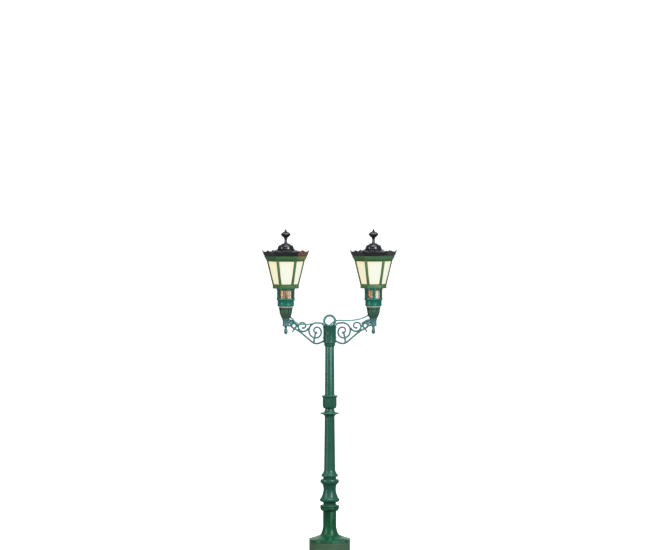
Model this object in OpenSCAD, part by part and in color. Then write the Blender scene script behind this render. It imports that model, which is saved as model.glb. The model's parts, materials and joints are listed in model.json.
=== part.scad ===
// Twin-armed street lamp post: a steel core tube with cast sleeves over it, two scrolled
// brackets and two hexagonal lanterns with hinged roofs. Millimetres, +Z up, the origin on
// the ground at the middle of the base drum. The front is -Y, the service door faces +Y.

/* [Overall] */
// Distance between the axes of the two lanterns
lantern_spacing = 1000; // [850:10:1250]

/* [Base drum] */
// Outer radius of the base drum
drum_r = 234; // [210:2:285]
// Height of the base drum
drum_h = 220; // [190:5:300]
// Wall thickness of the drum
drum_wall = 12; // [10:1:16]
// Thickness of the drum's floor
floor_t = 18; // [14:1:24]
// Thickness of the drum's top ring
top_ring_t = 16; // [12:1:20]
// Bevel round the drum's top edge
drum_bevel = 4; // [2:1:5]
// Diameter of the circle that the foundation bolts stand on
anchor_circle_d = 330; // [300:5:380]
// Radius of a foundation bolt hole
anchor_hole_r = 11; // [8:1:14]
// Radius of the hole for the street cable
cable_entry_r = 28; // [20:1:31]

/* [Service door] */
// Width of the door opening
door_w = 180; // [150:5:220]
// Height of the door opening
door_h = 130; // [110:5:150]
// Height of the opening's lower edge above the ground
door_sill = 48; // [40:1:56]
// Thickness of the door
door_t = 8; // [6:1:10]
// Radius of the hinge barrels
barrel_r = 7; // [6:0.5:9]
// Length of the door's own barrel
door_barrel = 50; // [30:5:70]
// Radius of the lock's barrel
lock_r = 9; // [7:0.5:11]
// Reach of the lock's cam from its axis
cam_reach = 36; // [34:1:40]

/* [Core tube] */
// Outer radius of the steel core tube
tube_r = 38; // [30:1:46]
// Wall thickness of the core tube
tube_wall = 5; // [4:1:8]
// Radius of the tube's foot flange
foot_r = 95; // [80:1:110]
// Thickness of the foot flange
foot_t = 12; // [10:1:16]
// Shank radius of a foot bolt
foot_bolt_r = 6; // [5:1:8]

/* [Skirt casting] */
// Height of the whole skirt casting
skirt_h = 415; // [350:5:500]
// Height of its upright rim
rim_h = 32; // [26:1:40]
// Rise of the cone above the rim
cone_h = 43; // [36:1:55]
// Radius at the top of the cone
cone_r = 111; // [100:1:125]
// Height of the cove between cone and column
cove_h = 98; // [60:2:110]
// Radius of the short column
column_r = 76; // [65:1:85]
// Radius of the beaded ring at its top
bead_r = 110; // [95:1:122]
// Height of one bead
bead_h = 19; // [14:1:22]
// Radius of a screw recess
recess_r = 18; // [15:1:20]
// Distance of the skirt screws from the axis
skirt_screw_at = 207; // [190:1:210]

/* [Baluster casting] */
// Height of the whole baluster casting
baluster_h = 298; // [250:2:360]
// Radius of the groove at its foot
groove_r = 73; // [66:1:78]
// Radius of the baluster's lower swell
swell_r = 113; // [100:1:122]
// Radius of its waist
waist_r = 71; // [66:1:80]
// Radius of its top ring
crown_ring_r = 106; // [95:1:115]

/* [Lower shaft] */
// Height of the whole lower shaft casting
shaft_h = 761; // [620:5:920]
// Radius of the bell foot
bell_r = 95; // [84:1:104]
// Radius of the shaft above the bell
shaft_foot_r = 64; // [60:1:70]
// Radius of the shaft near its top
shaft_top_r = 56; // [50:1:62]
// Radius of the thin disc flange
disc_r = 106; // [90:1:120]
// Thickness of the disc flange at its edge
disc_t = 9; // [6:1:14]

/* [Tulip collar] */
// Height of the whole tulip collar
tulip_h = 200; // [170:5:240]
// Radius of the narrow neck under the petals
tulip_neck_r = 50; // [48:1:56]
// Radius of the petalled cup
petal_r = 79; // [68:1:86]
// Radius of the flared lip
lip_r = 90; // [80:1:100]
// Number of petals
petals = 8; // [6:1:12]

/* [Upper shaft] */
// Height of the upper shaft
upper_h = 550; // [450:5:670]
// Radius at its foot
upper_foot_r = 54.5; // [52:0.5:60]
// Radius at its top
upper_top_r = 51; // [48:0.5:56]

/* [Hub] */
// Height of the hub
hub_h = 250; // [240:5:300]
// Radius of the hub's body
hub_r = 67; // [65:1:76]
// Distance from the axis to the flats that carry the brackets
hub_flat = 62; // [60:1:64]
// Radius of the wiring chamber
chamber_r = 50; // [46:1:51]
// Middle radius of the eye ring
eye_r = 62; // [54:1:66]
// Radius of the eye ring's bar
eye_bar_r = 13; // [10:0.5:14]
// Height of the eye ring's centre above the hub's rim
eye_rise = 45; // [38:1:50]

/* [Arm brackets] */
// Width of a scroll bar as seen from the front
bar_w = 21; // [14:1:24]
// Depth of a scroll bar from front to back
bar_d = 20; // [14:1:26]
// Thickness of the plate against the hub
plate_t = 10; // [8:1:12]
// Width of the plate
plate_w = 34; // [30:1:38]
// Radius of the boss at the bracket's end
boss_r = 38; // [34:1:42]
// Height of the boss
boss_h = 84; // [76:1:92]
// Height of the boss's underside above the hub's foot
boss_rise = 235; // [225:1:245]
// Radius of the hole through the boss
boss_bore_r = 9; // [8:0.5:12]
// Shank radius of the bolts through the plate
arm_bolt_r = 5; // [4:0.5:7]
// Largest radius of the pendant
pendant_r = 22; // [16:1:28]
// Length of the pendant
pendant_h = 92; // [70:2:110]

/* [Lantern cup] */
// Height of the cup
cup_h = 132; // [120:2:150]
// Radius at the cup's foot
cup_foot_r = 42; // [38:1:46]
// Radius at the cup's rim
cup_rim_r = 78; // [74:1:90]
// Radius of the socket in the cup's top
socket_r = 58; // [50:1:62]
// Depth of that socket
socket_depth = 52; // [40:1:60]
// Radius of the set screw
set_screw_r = 9; // [6:1:12]
// Radius of the rubber cable gland
gland_r = 12; // [11:0.5:13]
// Radius of the feed cables
cable_r = 7.5; // [5:0.5:8]

/* [Neck] */
// Thickness of the gasket
gasket_t = 14; // [8:1:18]
// Outer radius of the neck sleeve
sleeve_r = 94; // [86:1:112]
// Height of the neck sleeve
sleeve_h = 81; // [60:1:100]
// Outer radius of the neck cage
cage_r = 105; // [98:1:126]
// Height of the neck cage
cage_h = 120; // [90:1:140]
// Wall thickness of sleeve and cage
neck_wall = 8; // [5:1:10]
// Width of a window in the cage
window_w = 70; // [50:1:80]
// Outer radius of the lamp holder
holder_r = 40; // [32:1:46]
// Radius of the lamp's glass
lamp_r = 48; // [36:1:60]

/* [Lantern body] */
// Corner radius of the lantern at its foot
foot_corner_r = 150; // [138:1:180]
// Corner radius of the lantern at the top of the panes
head_corner_r = 219; // [200:1:262]
// Height of the bottom rail
rail_h = 37; // [28:1:45]
// Height of the panes
pane_h = 284; // [240:2:340]
// Thickness of a pane
pane_t = 4; // [3:0.5:6]
// Width of one flange of a corner bar
flange_w = 17; // [12:1:22]
// Thickness of a corner bar
flange_t = 7; // [5:0.5:9]
// Height of the top band
band_h = 48; // [38:1:60]
// How far the band's corners lean out
band_lean = 26; // [16:1:32]

/* [Roof] */
// Height of the roof's flat rim
roof_rim_h = 8; // [6:1:12]
// Height of the crown
crown_h = 58; // [44:1:70]
// How far the crown's corners lean out
crown_lean = 18; // [10:1:24]
// Thickness of the crown
crown_t = 7; // [5:1:9]
// Height of the roof from its rim to the dome
roof_rise = 68; // [54:1:80]
// Radius of the vent dome
dome_r = 95; // [84:1:110]
// Height of the vent dome
dome_h = 68; // [56:1:80]
// Height of the finial
finial_h = 166; // [140:2:200]
// Radius of the finial's stem
stem_r = 17; // [12:1:20]
// Radius of the finial's knob
knob_r = 56; // [44:1:64]

/* [Fits] */
// Radius of the hinge pins
pin_r = 3.5; // [3:0.25:4]
// Running clearance round a hinge pin or lock
run_gap = 0.08; // [0.04:0.01:0.1]
// Clearance between castings and the core tube
sleeve_gap = 0.5; // [0.2:0.1:1]
// Clearance round screws and bolts
screw_gap = 0.2; // [0.1:0.1:0.5]
// Gap between a moving cover and what it closes
cover_gap = 1; // [0.5:0.5:2]

/* [Hidden] */
$fn = 72;
past = 1;                              // how far a cutting shape runs past a face
arm_x = lantern_spacing / 2;
tube_bore_r = tube_r + sleeve_gap;
tube_in_r = tube_r - tube_wall;

// Heights of the stack, from the ground up
baluster_z = drum_h + skirt_h;
shaft_z = baluster_z + baluster_h;
tulip_z = shaft_z + shaft_h;
upper_z = tulip_z + tulip_h;
hub_z = upper_z + upper_h;
hub_top = hub_z + hub_h;
eye_z = hub_top + eye_rise;
boss_z = hub_z + boss_rise;
cup_z = boss_z + boss_h;
gasket_z = cup_z + cup_h;
sleeve_z = gasket_z + gasket_t;
cage_z = sleeve_z + sleeve_h;
rail_z = cage_z + cage_h;
pane_z = rail_z + rail_h;
band_z = pane_z + pane_h;
roof_z = band_z + band_h + cover_gap / 2;
crown_z = roof_z + roof_rim_h;
dome_z = crown_z + roof_rise;
finial_z = dome_z + dome_h;

// Core tube: it ends in the hub's wiring chamber
collar_h = 24;                         // locating collar at each end of a casting's bore
chamber_z = hub_z + 150;
chamber_h = 61;
tube_top = chamber_z + 6;
foot_bolt_at = (tube_r + foot_r) / 2 + 4;
hand_hole_z = drum_h + 30;             // slot for the mast cable, under the skirt
hand_hole_r = 13;
mast_cable_r = 8;

// Service door and lock
hinge_x = door_w / 2 + barrel_r - 1;
hinge_y = sqrt(pow(drum_r + barrel_r + cover_gap / 2, 2) - hinge_x * hinge_x);
door_mid_z = door_sill + door_h / 2;
strap_t = 8.5;
lock_x = -door_w / 2 + 28;
lock_face_y = sqrt(drum_r * drum_r - lock_x * lock_x) + 2;
lock_back_y = drum_r - 46;
cam_t = 6;
cam_w = 12;

// Fuse box on the back of the core tube
box_w = 110;
box_d = 56;
box_h = 95;
box_y = tube_r + 10;
box_z = floor_t + 44;
box_wall = 4;

// Lantern: the hexagon's flat faces look to the front and back
hex = 6;
flat = cos(30);                        // a hexagon's flat lies this share of its corner radius out
band_r = head_corner_r + 2;
band_top_r = band_r + band_lean;
band_wall = 11;
roof_r = band_top_r - 4;
pane_tilt = atan((head_corner_r - foot_corner_r) / pane_h);
flat_tilt = atan((head_corner_r - foot_corner_r) * flat / pane_h);
hinge_out = band_top_r * flat + barrel_r + 5;       // roof hinge axis behind the lantern's axis
hinge_z = band_z + band_h - 3;
knuckle_w = 20;
knuckle_at = 40;                       // inner end of the band's own knuckles
holder_h = 145;
holder_z = sleeve_z + 50;
window_z = 8;                          // foot ring of the cage under its windows
window_top = 18;                       // top ring of the cage over its windows

// Hand-picked route of each feed cable from the hub's chamber, [x, y, z] from the mast's axis
// and the hub's foot, with x counted outwards; its last two points are worked out in the cup
right_route = [[6, 24, 210.5], [6, 24, 228], [6, 24, 246], [20, 24, 262], [44, 24, 280], [68, 23, 293],
    [98, 16, 300], [135, 5, 301], [180, 0, 299], [235, 0, 300], [290, 0, 305], [345, 0, 317],
    [390, 0, 332]];
left_route = [[26, -24, 210.5], [26, -24, 227], [26, -24, 244], [38, -24, 259], [76, -21, 268],
    [145, -19.5, 273], [200, -19.5, 264], [250, -19.5, 258], [310, -19.5, 257], [360, -19.5, 259],
    [394, -19.5, 272], [408, -19.5, 300], [419, -13, 319]];
right_entry = 40;                      // height at which the cable enters the right cup
left_entry = 22;
right_slope = 30;
left_slope = 42;
mast_route = [[24, 76, 157], [24, 76, 180], [20, 70, 204], [10, 54, 228], [2, 32, 250],
    [0, 12, 272], [0, 2, 300], [0, 0, 340]];

left = -1;
right = 1;

// ---- Curves ----

function reversed(p) = [for (i = [len(p) - 1:-1:0]) p[i]];
function unit(v) = v / norm(v);

// Quarter ellipse that leaves p level and arrives at q upright
function level_then_up(p, q, n = 6) =
    [for (i = [0:n]) let (t = 90 * i / n)
        [p.x + (q.x - p.x) * sin(t), q.y + (p.y - q.y) * cos(t)]];

// Quarter ellipse that leaves p upright and arrives at q level
function up_then_level(p, q, n = 6) =
    [for (i = [0:n]) let (t = 90 * i / n)
        [q.x + (p.x - q.x) * cos(t), p.y + (q.y - p.y) * sin(t)]];

// Curve from p to q half-way between a straight line and level_then_up
function flare(p, q, n = 6) =
    let (quarter = level_then_up(p, q, n)) [for (i = [0:n]) (quarter[i] + p + (q - p) * i / n) / 2];

// Line from p to q with an even bow outwards
function bowed(p, q, bow, n = 8) =
    [for (i = [0:n]) p + (q - p) * i / n + [bow * sin(180 * i / n), 0]];

// Half-round bead on an upright line, from height z to z + h
function bead(r, z, h, depth, n = 8) =
    [for (i = [0:n]) [r - depth + depth * sin(180 * i / n), z + h * i / n]];

function blend(a, b, c, d, t) = ((-t*t*t + 2*t*t - t) * a + (3*t*t*t - 5*t*t + 2) * b
    + (-3*t*t*t + 4*t*t + t) * c + (t*t*t - t*t) * d) / 2;

// Smooth curve through every point of p, with n steps between two points
function smooth(p, n) = concat(
    [for (i = [0:len(p) - 2], j = [0:n - 1])
        blend(p[max(i - 1, 0)], p[i], p[i + 1], p[min(i + 2, len(p) - 1)], j / n)],
    [p[len(p) - 1]]);

// Spiral about c through [angle, radius] keys
function spiral(c, keys, n = 8) = concat(
    [for (i = [0:len(keys) - 2], j = [0:n - 1])
        let (k = keys[i] + (keys[i + 1] - keys[i]) * j / n) c + k[1] * [cos(k[0]), sin(k[0])]],
    [let (k = keys[len(keys) - 1]) c + k[1] * [cos(k[0]), sin(k[0])]]);

function tangent(p, i) = unit(p[min(i + 1, len(p) - 1)] - p[max(i - 1, 0)]);
function beside(p, d) = [for (i = [0:len(p) - 1]) let (t = tangent(p, i)) p[i] + d * [-t.y, t.x]];

// ---- Shapes used by many pieces ----

module turned(outline) {
    rotate_extrude() polygon(outline);
}

// Turned casting with a bore for the core tube, relieved between its end collars
module casting(outline, h, relief_r) {
    chamfer = relief_r - tube_bore_r;
    turned(concat(outline, [[tube_bore_r, h], [tube_bore_r, h - collar_h],
        [relief_r, h - collar_h - chamfer], [relief_r, collar_h + chamfer],
        [tube_bore_r, collar_h], [tube_bore_r, 0]]));
}

module bar(path, w) {
    polygon(concat(beside(path, w / 2), reversed(beside(path, -w / 2))));
}

module ring(r_out, r_in, h) {
    difference() {
        cylinder(r = r_out, h = h);
        translate([0, 0, -past]) cylinder(r = r_in, h = h + 2 * past);
    }
}

module hexagon(r1, r2, h) {
    cylinder(r1 = r1, r2 = r2, h = h, $fn = hex);
}

module around(count, start = 0) {
    for (i = [0:count - 1]) rotate([0, 0, start + 360 * i / count]) children();
}

// Round cable swept along a path; its rings stay square to the path
module cable(path, r, level, sides = 10) {
    rings = [for (i = [0:len(path) - 1])
        let (t = tangent(path, i), u = unit(cross(level, t)), v = cross(t, u))
        for (k = [0:sides - 1]) path[i] + r * (cos(360 * k / sides) * u + sin(360 * k / sides) * v)];
    walls = [for (i = [0:len(path) - 2], k = [0:sides - 1])
        let (a = i * sides + k, b = i * sides + (k + 1) % sides) [a, a + sides, b + sides, b]];
    foot = [for (k = [0:sides - 1]) k];
    head = [for (k = [sides - 1:-1:0]) (len(path) - 1) * sides + k];
    polyhedron(points = rings, faces = concat([foot], walls, [head]));
}

module at_lantern(side, z) {
    translate([side * arm_x, 0, z]) children();
}

// ---- Base ----

module drum_wall_arc(r_out, r_in, w, h) {
    intersection() {
        ring(r_out, r_in, h);
        translate([-w / 2, 0, 0]) cube([w, r_out + past, h]);
    }
}

module hinge_barrel(z, h) {
    translate([hinge_x, hinge_y, z]) cylinder(r = barrel_r, h = h);
}

module base_plate() {
    color("#52715c") difference() {
        cylinder(r = drum_r, h = floor_t);
        translate([0, 0, -past]) cylinder(r = cable_entry_r, h = floor_t + 2 * past);
        around(4, 45) translate([anchor_circle_d / 2, 0, -past])
            cylinder(r = anchor_hole_r, h = floor_t + 2 * past);
        around(4) translate([foot_bolt_at, 0, 4])
            cylinder(r = foot_bolt_r + screw_gap, h = floor_t);
    }
}

module base_drum() {
    lug_w = 2 * barrel_r;
    lug_foot = hinge_y - 2 * barrel_r;
    fixed_h = (door_h - door_barrel) / 2 - 20;
    low_z = door_mid_z - door_barrel / 2 - fixed_h - cover_gap / 2;
    high_z = door_mid_z + door_barrel / 2 + cover_gap / 2;
    color("#52715c")
    difference() {
        union() {
            difference() {
                translate([0, 0, floor_t])
                    ring(drum_r, drum_r - drum_wall, drum_h - top_ring_t - floor_t);
                translate([-door_w / 2, 0, door_sill]) cube([door_w, drum_r + past, door_h]);
            }
            for (z = [low_z, high_z]) {
                hinge_barrel(z, fixed_h);
                translate([hinge_x - 3, lug_foot, z]) cube([lug_w - 4, hinge_y - lug_foot, fixed_h]);
            }
        }
        translate([hinge_x, hinge_y, low_z - past]) cylinder(r = pin_r + run_gap, h = door_h);
    }
}

module drum_top_ring() {
    in_r = foot_r + 5;
    color("#52715c") translate([0, 0, drum_h - top_ring_t]) difference() {
        turned([[in_r, 0], [drum_r, 0], [drum_r, top_ring_t - drum_bevel],
            [drum_r - drum_bevel, top_ring_t], [in_r, top_ring_t]]);
        around(4) translate([skirt_screw_at, 0, -past])
            cylinder(r = foot_bolt_r + screw_gap, h = top_ring_t + 2 * past);
    }
}

module mast_tube() {
    color("silver")
    difference() {
        union() {
            translate([0, 0, floor_t]) cylinder(r = tube_r, h = tube_top - floor_t);
            translate([0, 0, floor_t]) cylinder(r = foot_r, h = foot_t);
        }
        translate([0, 0, floor_t - past]) cylinder(r = tube_in_r, h = tube_top);
        for (dz = [-12, 0, 12])
            translate([0, 0, hand_hole_z + dz]) rotate([-90, 0, 0])
                cylinder(r = hand_hole_r, h = tube_r + past);
        around(4) translate([foot_bolt_at, 0, floor_t - past])
            cylinder(r = foot_bolt_r + screw_gap, h = foot_t + 2 * past);
    }
}

module hex_bolt(shank_r, shank_h) {
    head_h = 1.3 * shank_r;
    translate([0, 0, -shank_h]) cylinder(r = shank_r, h = shank_h);
    cylinder(r = 1.9 * shank_r, h = head_h, $fn = hex);
}

module foot_bolts() {
    color("silver") around(4) translate([foot_bolt_at, 0, floor_t + foot_t])
        hex_bolt(foot_bolt_r, floor_t + foot_t - 6);
}

module access_door() {
    leaf_w = door_w - 2 * cover_gap;
    strap_y = hinge_y - 3;
    strap_x = hinge_x - barrel_r - 20;
    color("#52715c")
    difference() {
        union() {
            translate([0, 0, door_sill + cover_gap])
                drum_wall_arc(drum_r, drum_r - door_t, leaf_w, door_h - 2 * cover_gap);
            hinge_barrel(door_mid_z - door_barrel / 2, door_barrel);
            translate([strap_x, strap_y, door_mid_z - door_barrel / 2])
                cube([hinge_x - strap_x, strap_t, door_barrel]);
        }
        translate([hinge_x, hinge_y, door_mid_z - door_barrel])
            cylinder(r = pin_r + run_gap, h = 2 * door_barrel);
        translate([lock_x, lock_back_y, door_mid_z]) rotate([-90, 0, 0])
            cylinder(r = lock_r + run_gap, h = drum_r);
    }
}

module door_hinge_pin() {
    color("silver") translate([hinge_x, hinge_y, door_mid_z]) {
        translate([0, 0, -door_h / 2 + 18]) cylinder(r = pin_r, h = door_h - 36);
        translate([0, 0, door_h / 2 - 18]) cylinder(r = pin_r + 2, h = 4);
    }
}

module door_lock() {
    key_r = 5;
    key_depth = 7;
    color("gold") translate([lock_x, lock_back_y, door_mid_z]) {
        difference() {
            rotate([-90, 0, 0]) cylinder(r = lock_r, h = lock_face_y - lock_back_y);
            translate([0, lock_face_y - lock_back_y - key_depth, 0]) rotate([-90, 0, 0])
                cylinder(r = key_r, h = key_depth + past, $fn = 3);
        }
        translate([-cam_w / 2, 0, -cam_reach]) cube([cam_w, cam_t, cam_reach]);
    }
}

module fuse_box() {
    saddle_w = 40;
    color("dimgray")
    difference() {
        union() {
            translate([-box_w / 2, box_y, box_z]) cube([box_w, box_d, box_h]);
            translate([-saddle_w / 2, tube_r / 2, box_z + 20])
                cube([saddle_w, box_y - tube_r / 2, box_h - 40]);
        }
        translate([-box_w / 2 + box_wall, box_y + box_wall, box_z + box_wall])
            cube([box_w - 2 * box_wall, box_d, box_h - 2 * box_wall]);
        translate([0, 0, box_z]) cylinder(r = tube_bore_r, h = box_h);
        translate([mast_route[0].x, mast_route[0].y, box_z + box_h - box_wall - past])
            cylinder(r = mast_cable_r + 1, h = box_wall + 2 * past);
    }
}

module fuse_box_cover() {
    lip = 6;
    color("gainsboro")
    translate([-box_w / 2, box_y + box_d, box_z])
    difference() {
        union() {
            cube([box_w, box_wall, box_h]);
            translate([box_wall + screw_gap, -lip, box_wall + screw_gap])
                cube([box_w - 2 * (box_wall + screw_gap), lip, box_h - 2 * (box_wall + screw_gap)]);
        }
        translate([2 * box_wall, -lip - past, 2 * box_wall])
            cube([box_w - 4 * box_wall, lip, box_h - 4 * box_wall]);
    }
}

module mast_cable() {
    bend = smooth(mast_route, 2);
    straight = [for (z = [700:400:2300]) [0, 0, z]];
    path = concat(bend, straight, [[0, 0, chamber_z + 12]]);
    color("black") cable(path, mast_cable_r, [1, 0, 0]);
}

module hub_terminal() {
    color("ivory") translate([0, 0, chamber_z + 12]) cylinder(r = 36, h = chamber_h - 13);
}

// ---- Mast castings ----

module skirt_casting() {
    cone_z = rim_h + cone_h;
    column_z = cone_z + cove_h;
    beads_z = skirt_h - 2 * bead_h;
    flare_z = beads_z - 28;
    outline = concat([[drum_r, 0], [drum_r, rim_h]],
        flare([cone_r, cone_z], [column_r, column_z]),
        level_then_up([column_r, flare_z], [bead_r - 6, beads_z]),
        bead(bead_r, beads_z, bead_h, 5), bead(bead_r, beads_z + bead_h, bead_h, 5));
    inner = [[tube_bore_r, skirt_h], [tube_bore_r, skirt_h - collar_h],
        [column_r - 14, skirt_h - collar_h - 20], [column_r - 14, column_z - 40],
        [cone_r - 16, rim_h + 22], [150, rim_h - 4], [150, 0]];
    color("#14633f") translate([0, 0, drum_h])
    difference() {
        turned(concat(outline, inner));
        around(4) translate([skirt_screw_at, 0, 0]) {
            translate([0, 0, rim_h - 10]) cylinder(r = recess_r, h = cone_h);
            translate([0, 0, -past]) cylinder(r = foot_bolt_r + screw_gap, h = rim_h);
        }
    }
}

module skirt_screws() {
    color("silver") around(4) translate([skirt_screw_at, 0, drum_h + rim_h - 10])
        hex_bolt(foot_bolt_r, rim_h - 10 + top_ring_t - 2);
}

module baluster_casting() {
    groove_h = 38;
    swell_z = 60;
    swell_top = swell_z + 10;
    waist_z = swell_top + 106;
    ring_z = baluster_h - 43;
    outline = concat([[bead_r - 7, 0], [bead_r - 7, 2], [groove_r, 6], [groove_r, groove_h]],
        level_then_up([groove_r + 10, groove_h], [swell_r, swell_z]),
        flare([swell_r, swell_top], [waist_r + 2, waist_z - 12]),
        [[waist_r, waist_z], [waist_r, waist_z + 14]],
        up_then_level([waist_r + 1, waist_z + 16], [crown_ring_r - 6, ring_z - 3]),
        bead(crown_ring_r, ring_z, baluster_h - ring_z - 3, 5, 12),
        [[crown_ring_r - 16, baluster_h]]);
    color("#2c5f4d") translate([0, 0, baluster_z]) casting(outline, baluster_h, groove_r - 13);
}

module lower_shaft() {
    bell_z = 34;
    bell_h = 20;
    shaft_foot_z = bell_z + bell_h + 53;
    disc_z = shaft_h - disc_t - 4;
    outline = concat([[groove_r + 1, 0], [groove_r + 1, 26], [bell_r, bell_z]],
        bead(bell_r, bell_z, bell_h, 3),
        flare([bell_r - 4, bell_z + bell_h + 1], [shaft_foot_r, shaft_foot_z], 10),
        [[shaft_top_r, disc_z - 42]],
        up_then_level([shaft_top_r, disc_z - 40], [shaft_top_r + 12, disc_z - 16]),
        [[shaft_top_r + 16, disc_z - 9], [disc_r, disc_z], [disc_r, disc_z + disc_t],
        [disc_r - 6, shaft_h]]);
    color("#2c5f4d") translate([0, 0, shaft_z]) casting(outline, shaft_h, tube_bore_r + 7);
}

module tulip_collar() {
    neck_z = 41;
    petal_z = neck_z + 45;
    petal_top = tulip_h - 30;
    lip_z = tulip_h - 18;
    outline = concat([[petal_r - 8, 0]],
        flare([petal_r - 9, 3], [tulip_neck_r, neck_z]),
        [[tulip_neck_r, neck_z + 2]],
        level_then_up([tulip_neck_r + 6, neck_z + 5], [petal_r, petal_z], 8),
        bowed([petal_r, petal_z], [petal_r - 1, petal_top], 1),
        [[lip_r - 2, lip_z], [lip_r, lip_z + 5], [lip_r - 1, tulip_h - 6],
        [upper_foot_r + 12, tulip_h - 1], [upper_foot_r + 4, tulip_h]]);
    notch_r = 5;
    color("#2c5f4d") translate([0, 0, tulip_z])
    difference() {
        turned(concat(outline, [[tube_bore_r, tulip_h], [tube_bore_r, 0]]));
        around(petals, 180 / petals) translate([petal_r + 5, 0, petal_z - 14])
            cylinder(r = notch_r, h = lip_z - petal_z + 8);
    }
}

module upper_shaft() {
    bore_r = tube_bore_r;
    color("#2c5f4d") translate([0, 0, upper_z])
        turned([[bore_r, 0], [upper_foot_r + 4, 0], [upper_foot_r + 3, 5], [upper_foot_r, 9],
            [upper_top_r, upper_h], [bore_r, upper_h]]);
}

module eye_solid(bar_r) {
    translate([0, 0, eye_z]) rotate([90, 0, 0])
        rotate_extrude() translate([eye_r, 0]) circle(r = bar_r);
}

module hub() {
    foot_z = 46;
    outline = concat([[upper_top_r, 0]],
        level_then_up([upper_top_r + 2, 6], [hub_r - 3, foot_z]),
        [[hub_r, foot_z + 8], [hub_r, hub_h - 14], [hub_r - 4, hub_h - 8], [hub_r - 6, hub_h],
        [hub_r - 14, hub_h], [hub_r - 22, hub_h - 7], [0, hub_h - 10], [0, 150 + chamber_h],
        [chamber_r, 150 + chamber_h], [chamber_r, 150], [tube_bore_r, 150], [tube_bore_r, 0]]);
    boss_at = 170;
    color("#1d6445")
    difference() {
        union() {
            translate([0, 0, hub_z]) turned(outline);
            translate([-22, 0, hub_z + boss_at]) rotate([90, 0, 0]) cylinder(r = 14, h = hub_r + 3);
        }
        for (s = [left, right])
            translate([s * (hub_flat + hub_r / 2), 0, hub_z + hub_h / 2])
                cube([hub_r, 2 * hub_r, hub_h + 2 * past], center = true);
        translate([0, 0, chamber_z]) cylinder(r = chamber_r, h = chamber_h);
        eye_solid(eye_bar_r + screw_gap);
        for (z = arm_bolt_heights, s = [left, right])
            translate([s * (hub_flat - 18), 0, hub_z + z]) rotate([0, s * 90, 0])
                cylinder(r = arm_bolt_r + screw_gap, h = 40);
        translate([right_route[0].x, right_route[0].y, hub_z + 200])
            cylinder(r = cable_r + 1, h = hub_h);
        translate([-left_route[0].x, left_route[0].y, hub_z + 200])
            cylinder(r = cable_r + 1, h = hub_h);
    }
}

module eye_ring() {
    color("#3f7a63") eye_solid(eye_bar_r);
}

// ---- Arm brackets ----

arm_bolt_heights = [105, 222];
scroll_reach = 400;                    // the reach for which the scrollwork is drawn
stretch = (arm_x - boss_r - hub_flat) / scroll_reach;

// A point of the scrollwork, from the hub's flat and foot, on the real bracket
function on_arm(p) = [hub_flat + p.x * stretch, p.y];
function all_on_arm(path) = [for (p = path) on_arm(p)];

module scroll_outline() {
    big = [90, 182];
    small = [245, 236];
    loop = [345, 241];
    bud_r = 11;
    knot_r = 10;
    turns = concat([[12, 244], [17, 259], [36, 270]],
        spiral(big, [[90, 92], [0, 84], [-90, 81], [-180, 54], [-270, 41], [-360, 27], [-450, 20]]));
    curl = spiral(small, [[198, 68], [270, 60], [360, 50], [450, 41], [540, 34], [630, 20]]);
    lower = smooth([[336, 205], [298, 186], [262, 160], [205, 113], [150, 66], [118, 44], [81, 37],
        [38, 50], [6, 69]], 5);
    bar(all_on_arm(turns), bar_w);
    bar(all_on_arm(curl), bar_w);
    bar(all_on_arm(lower), bar_w);
    bar(all_on_arm(smooth([[303, 262], [330, 280], [362, 298], [404, 308]], 4)), bar_w);
    bar(all_on_arm([[338, 209], [361, 172]]), bar_w * 0.8);
    bar(all_on_arm([[100, 156], [110, 100]]), bar_w * 0.8);
    bar(all_on_arm([[114, 104], [116, 44]]), bar_w * 0.8);
    bar(all_on_arm([[372, 244], [404, 240]]), bar_w);
    for (c = [loop, [378, 276]])
        translate(on_arm(c)) difference() {
            circle(r = (c == loop ? 27 : 13) + bar_w / 2);
            circle(r = (c == loop ? 27 : 15) - bar_w / 2);
        }
    for (c = [[90, 162], [245, 216]]) translate(on_arm(c)) circle(r = bud_r);
    for (c = [[178, 210], [303, 238], [338, 208], [114, 98]])
        translate(on_arm(c)) circle(r = knot_r);
}

module arm_bracket(side) {
    color("#3f7a63") translate([0, 0, hub_z]) rotate([0, 0, side == left ? 180 : 0])
    difference() {
        union() {
            translate([0, bar_d / 2, 0]) rotate([90, 0, 0]) linear_extrude(bar_d) scroll_outline();
            translate([hub_flat, -plate_w / 2, 46]) cube([plate_t, plate_w, 204]);
            translate([arm_x, 0, boss_rise]) turned([[0, 0], [boss_r - 6, 0], [boss_r, 9],
                [boss_r, boss_h - 10], [boss_r + 3, boss_h - 4], [boss_r + 3, boss_h], [0, boss_h]]);
        }
        for (z = arm_bolt_heights)
            translate([hub_flat - past, 0, z]) rotate([0, 90, 0])
                cylinder(r = arm_bolt_r + screw_gap, h = plate_t + 2 * past);
        translate([arm_x, 0, boss_rise - past]) cylinder(r = boss_bore_r, h = boss_h + 2 * past);
    }
}

module arm_bolts() {
    color("silver") for (z = arm_bolt_heights, s = [left, right])
        translate([s * (hub_flat + plate_t), 0, hub_z + z]) rotate([0, s * 90, 0])
            hex_bolt(arm_bolt_r, plate_t + 16);
}

module pendant(side) {
    stud_r = boss_bore_r - 1;
    color("#2c5f4d") at_lantern(side, boss_z - pendant_h)
        turned(concat(level_then_up([0, 0], [pendant_r, pendant_h * 0.4], 8),
            [[stud_r + 5, pendant_h * 0.75], [stud_r + 4, pendant_h * 0.82],
            [stud_r + 8, pendant_h * 0.86], [stud_r + 8, pendant_h],
            [stud_r, pendant_h], [stud_r, pendant_h + boss_h + 10], [0, pendant_h + boss_h + 10]]));
}

// ---- Lantern cup and neck ----

set_screw_turn = 208;                  // the set screw looks to the front left on both cups
set_screw_z = cup_h - 22;

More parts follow.
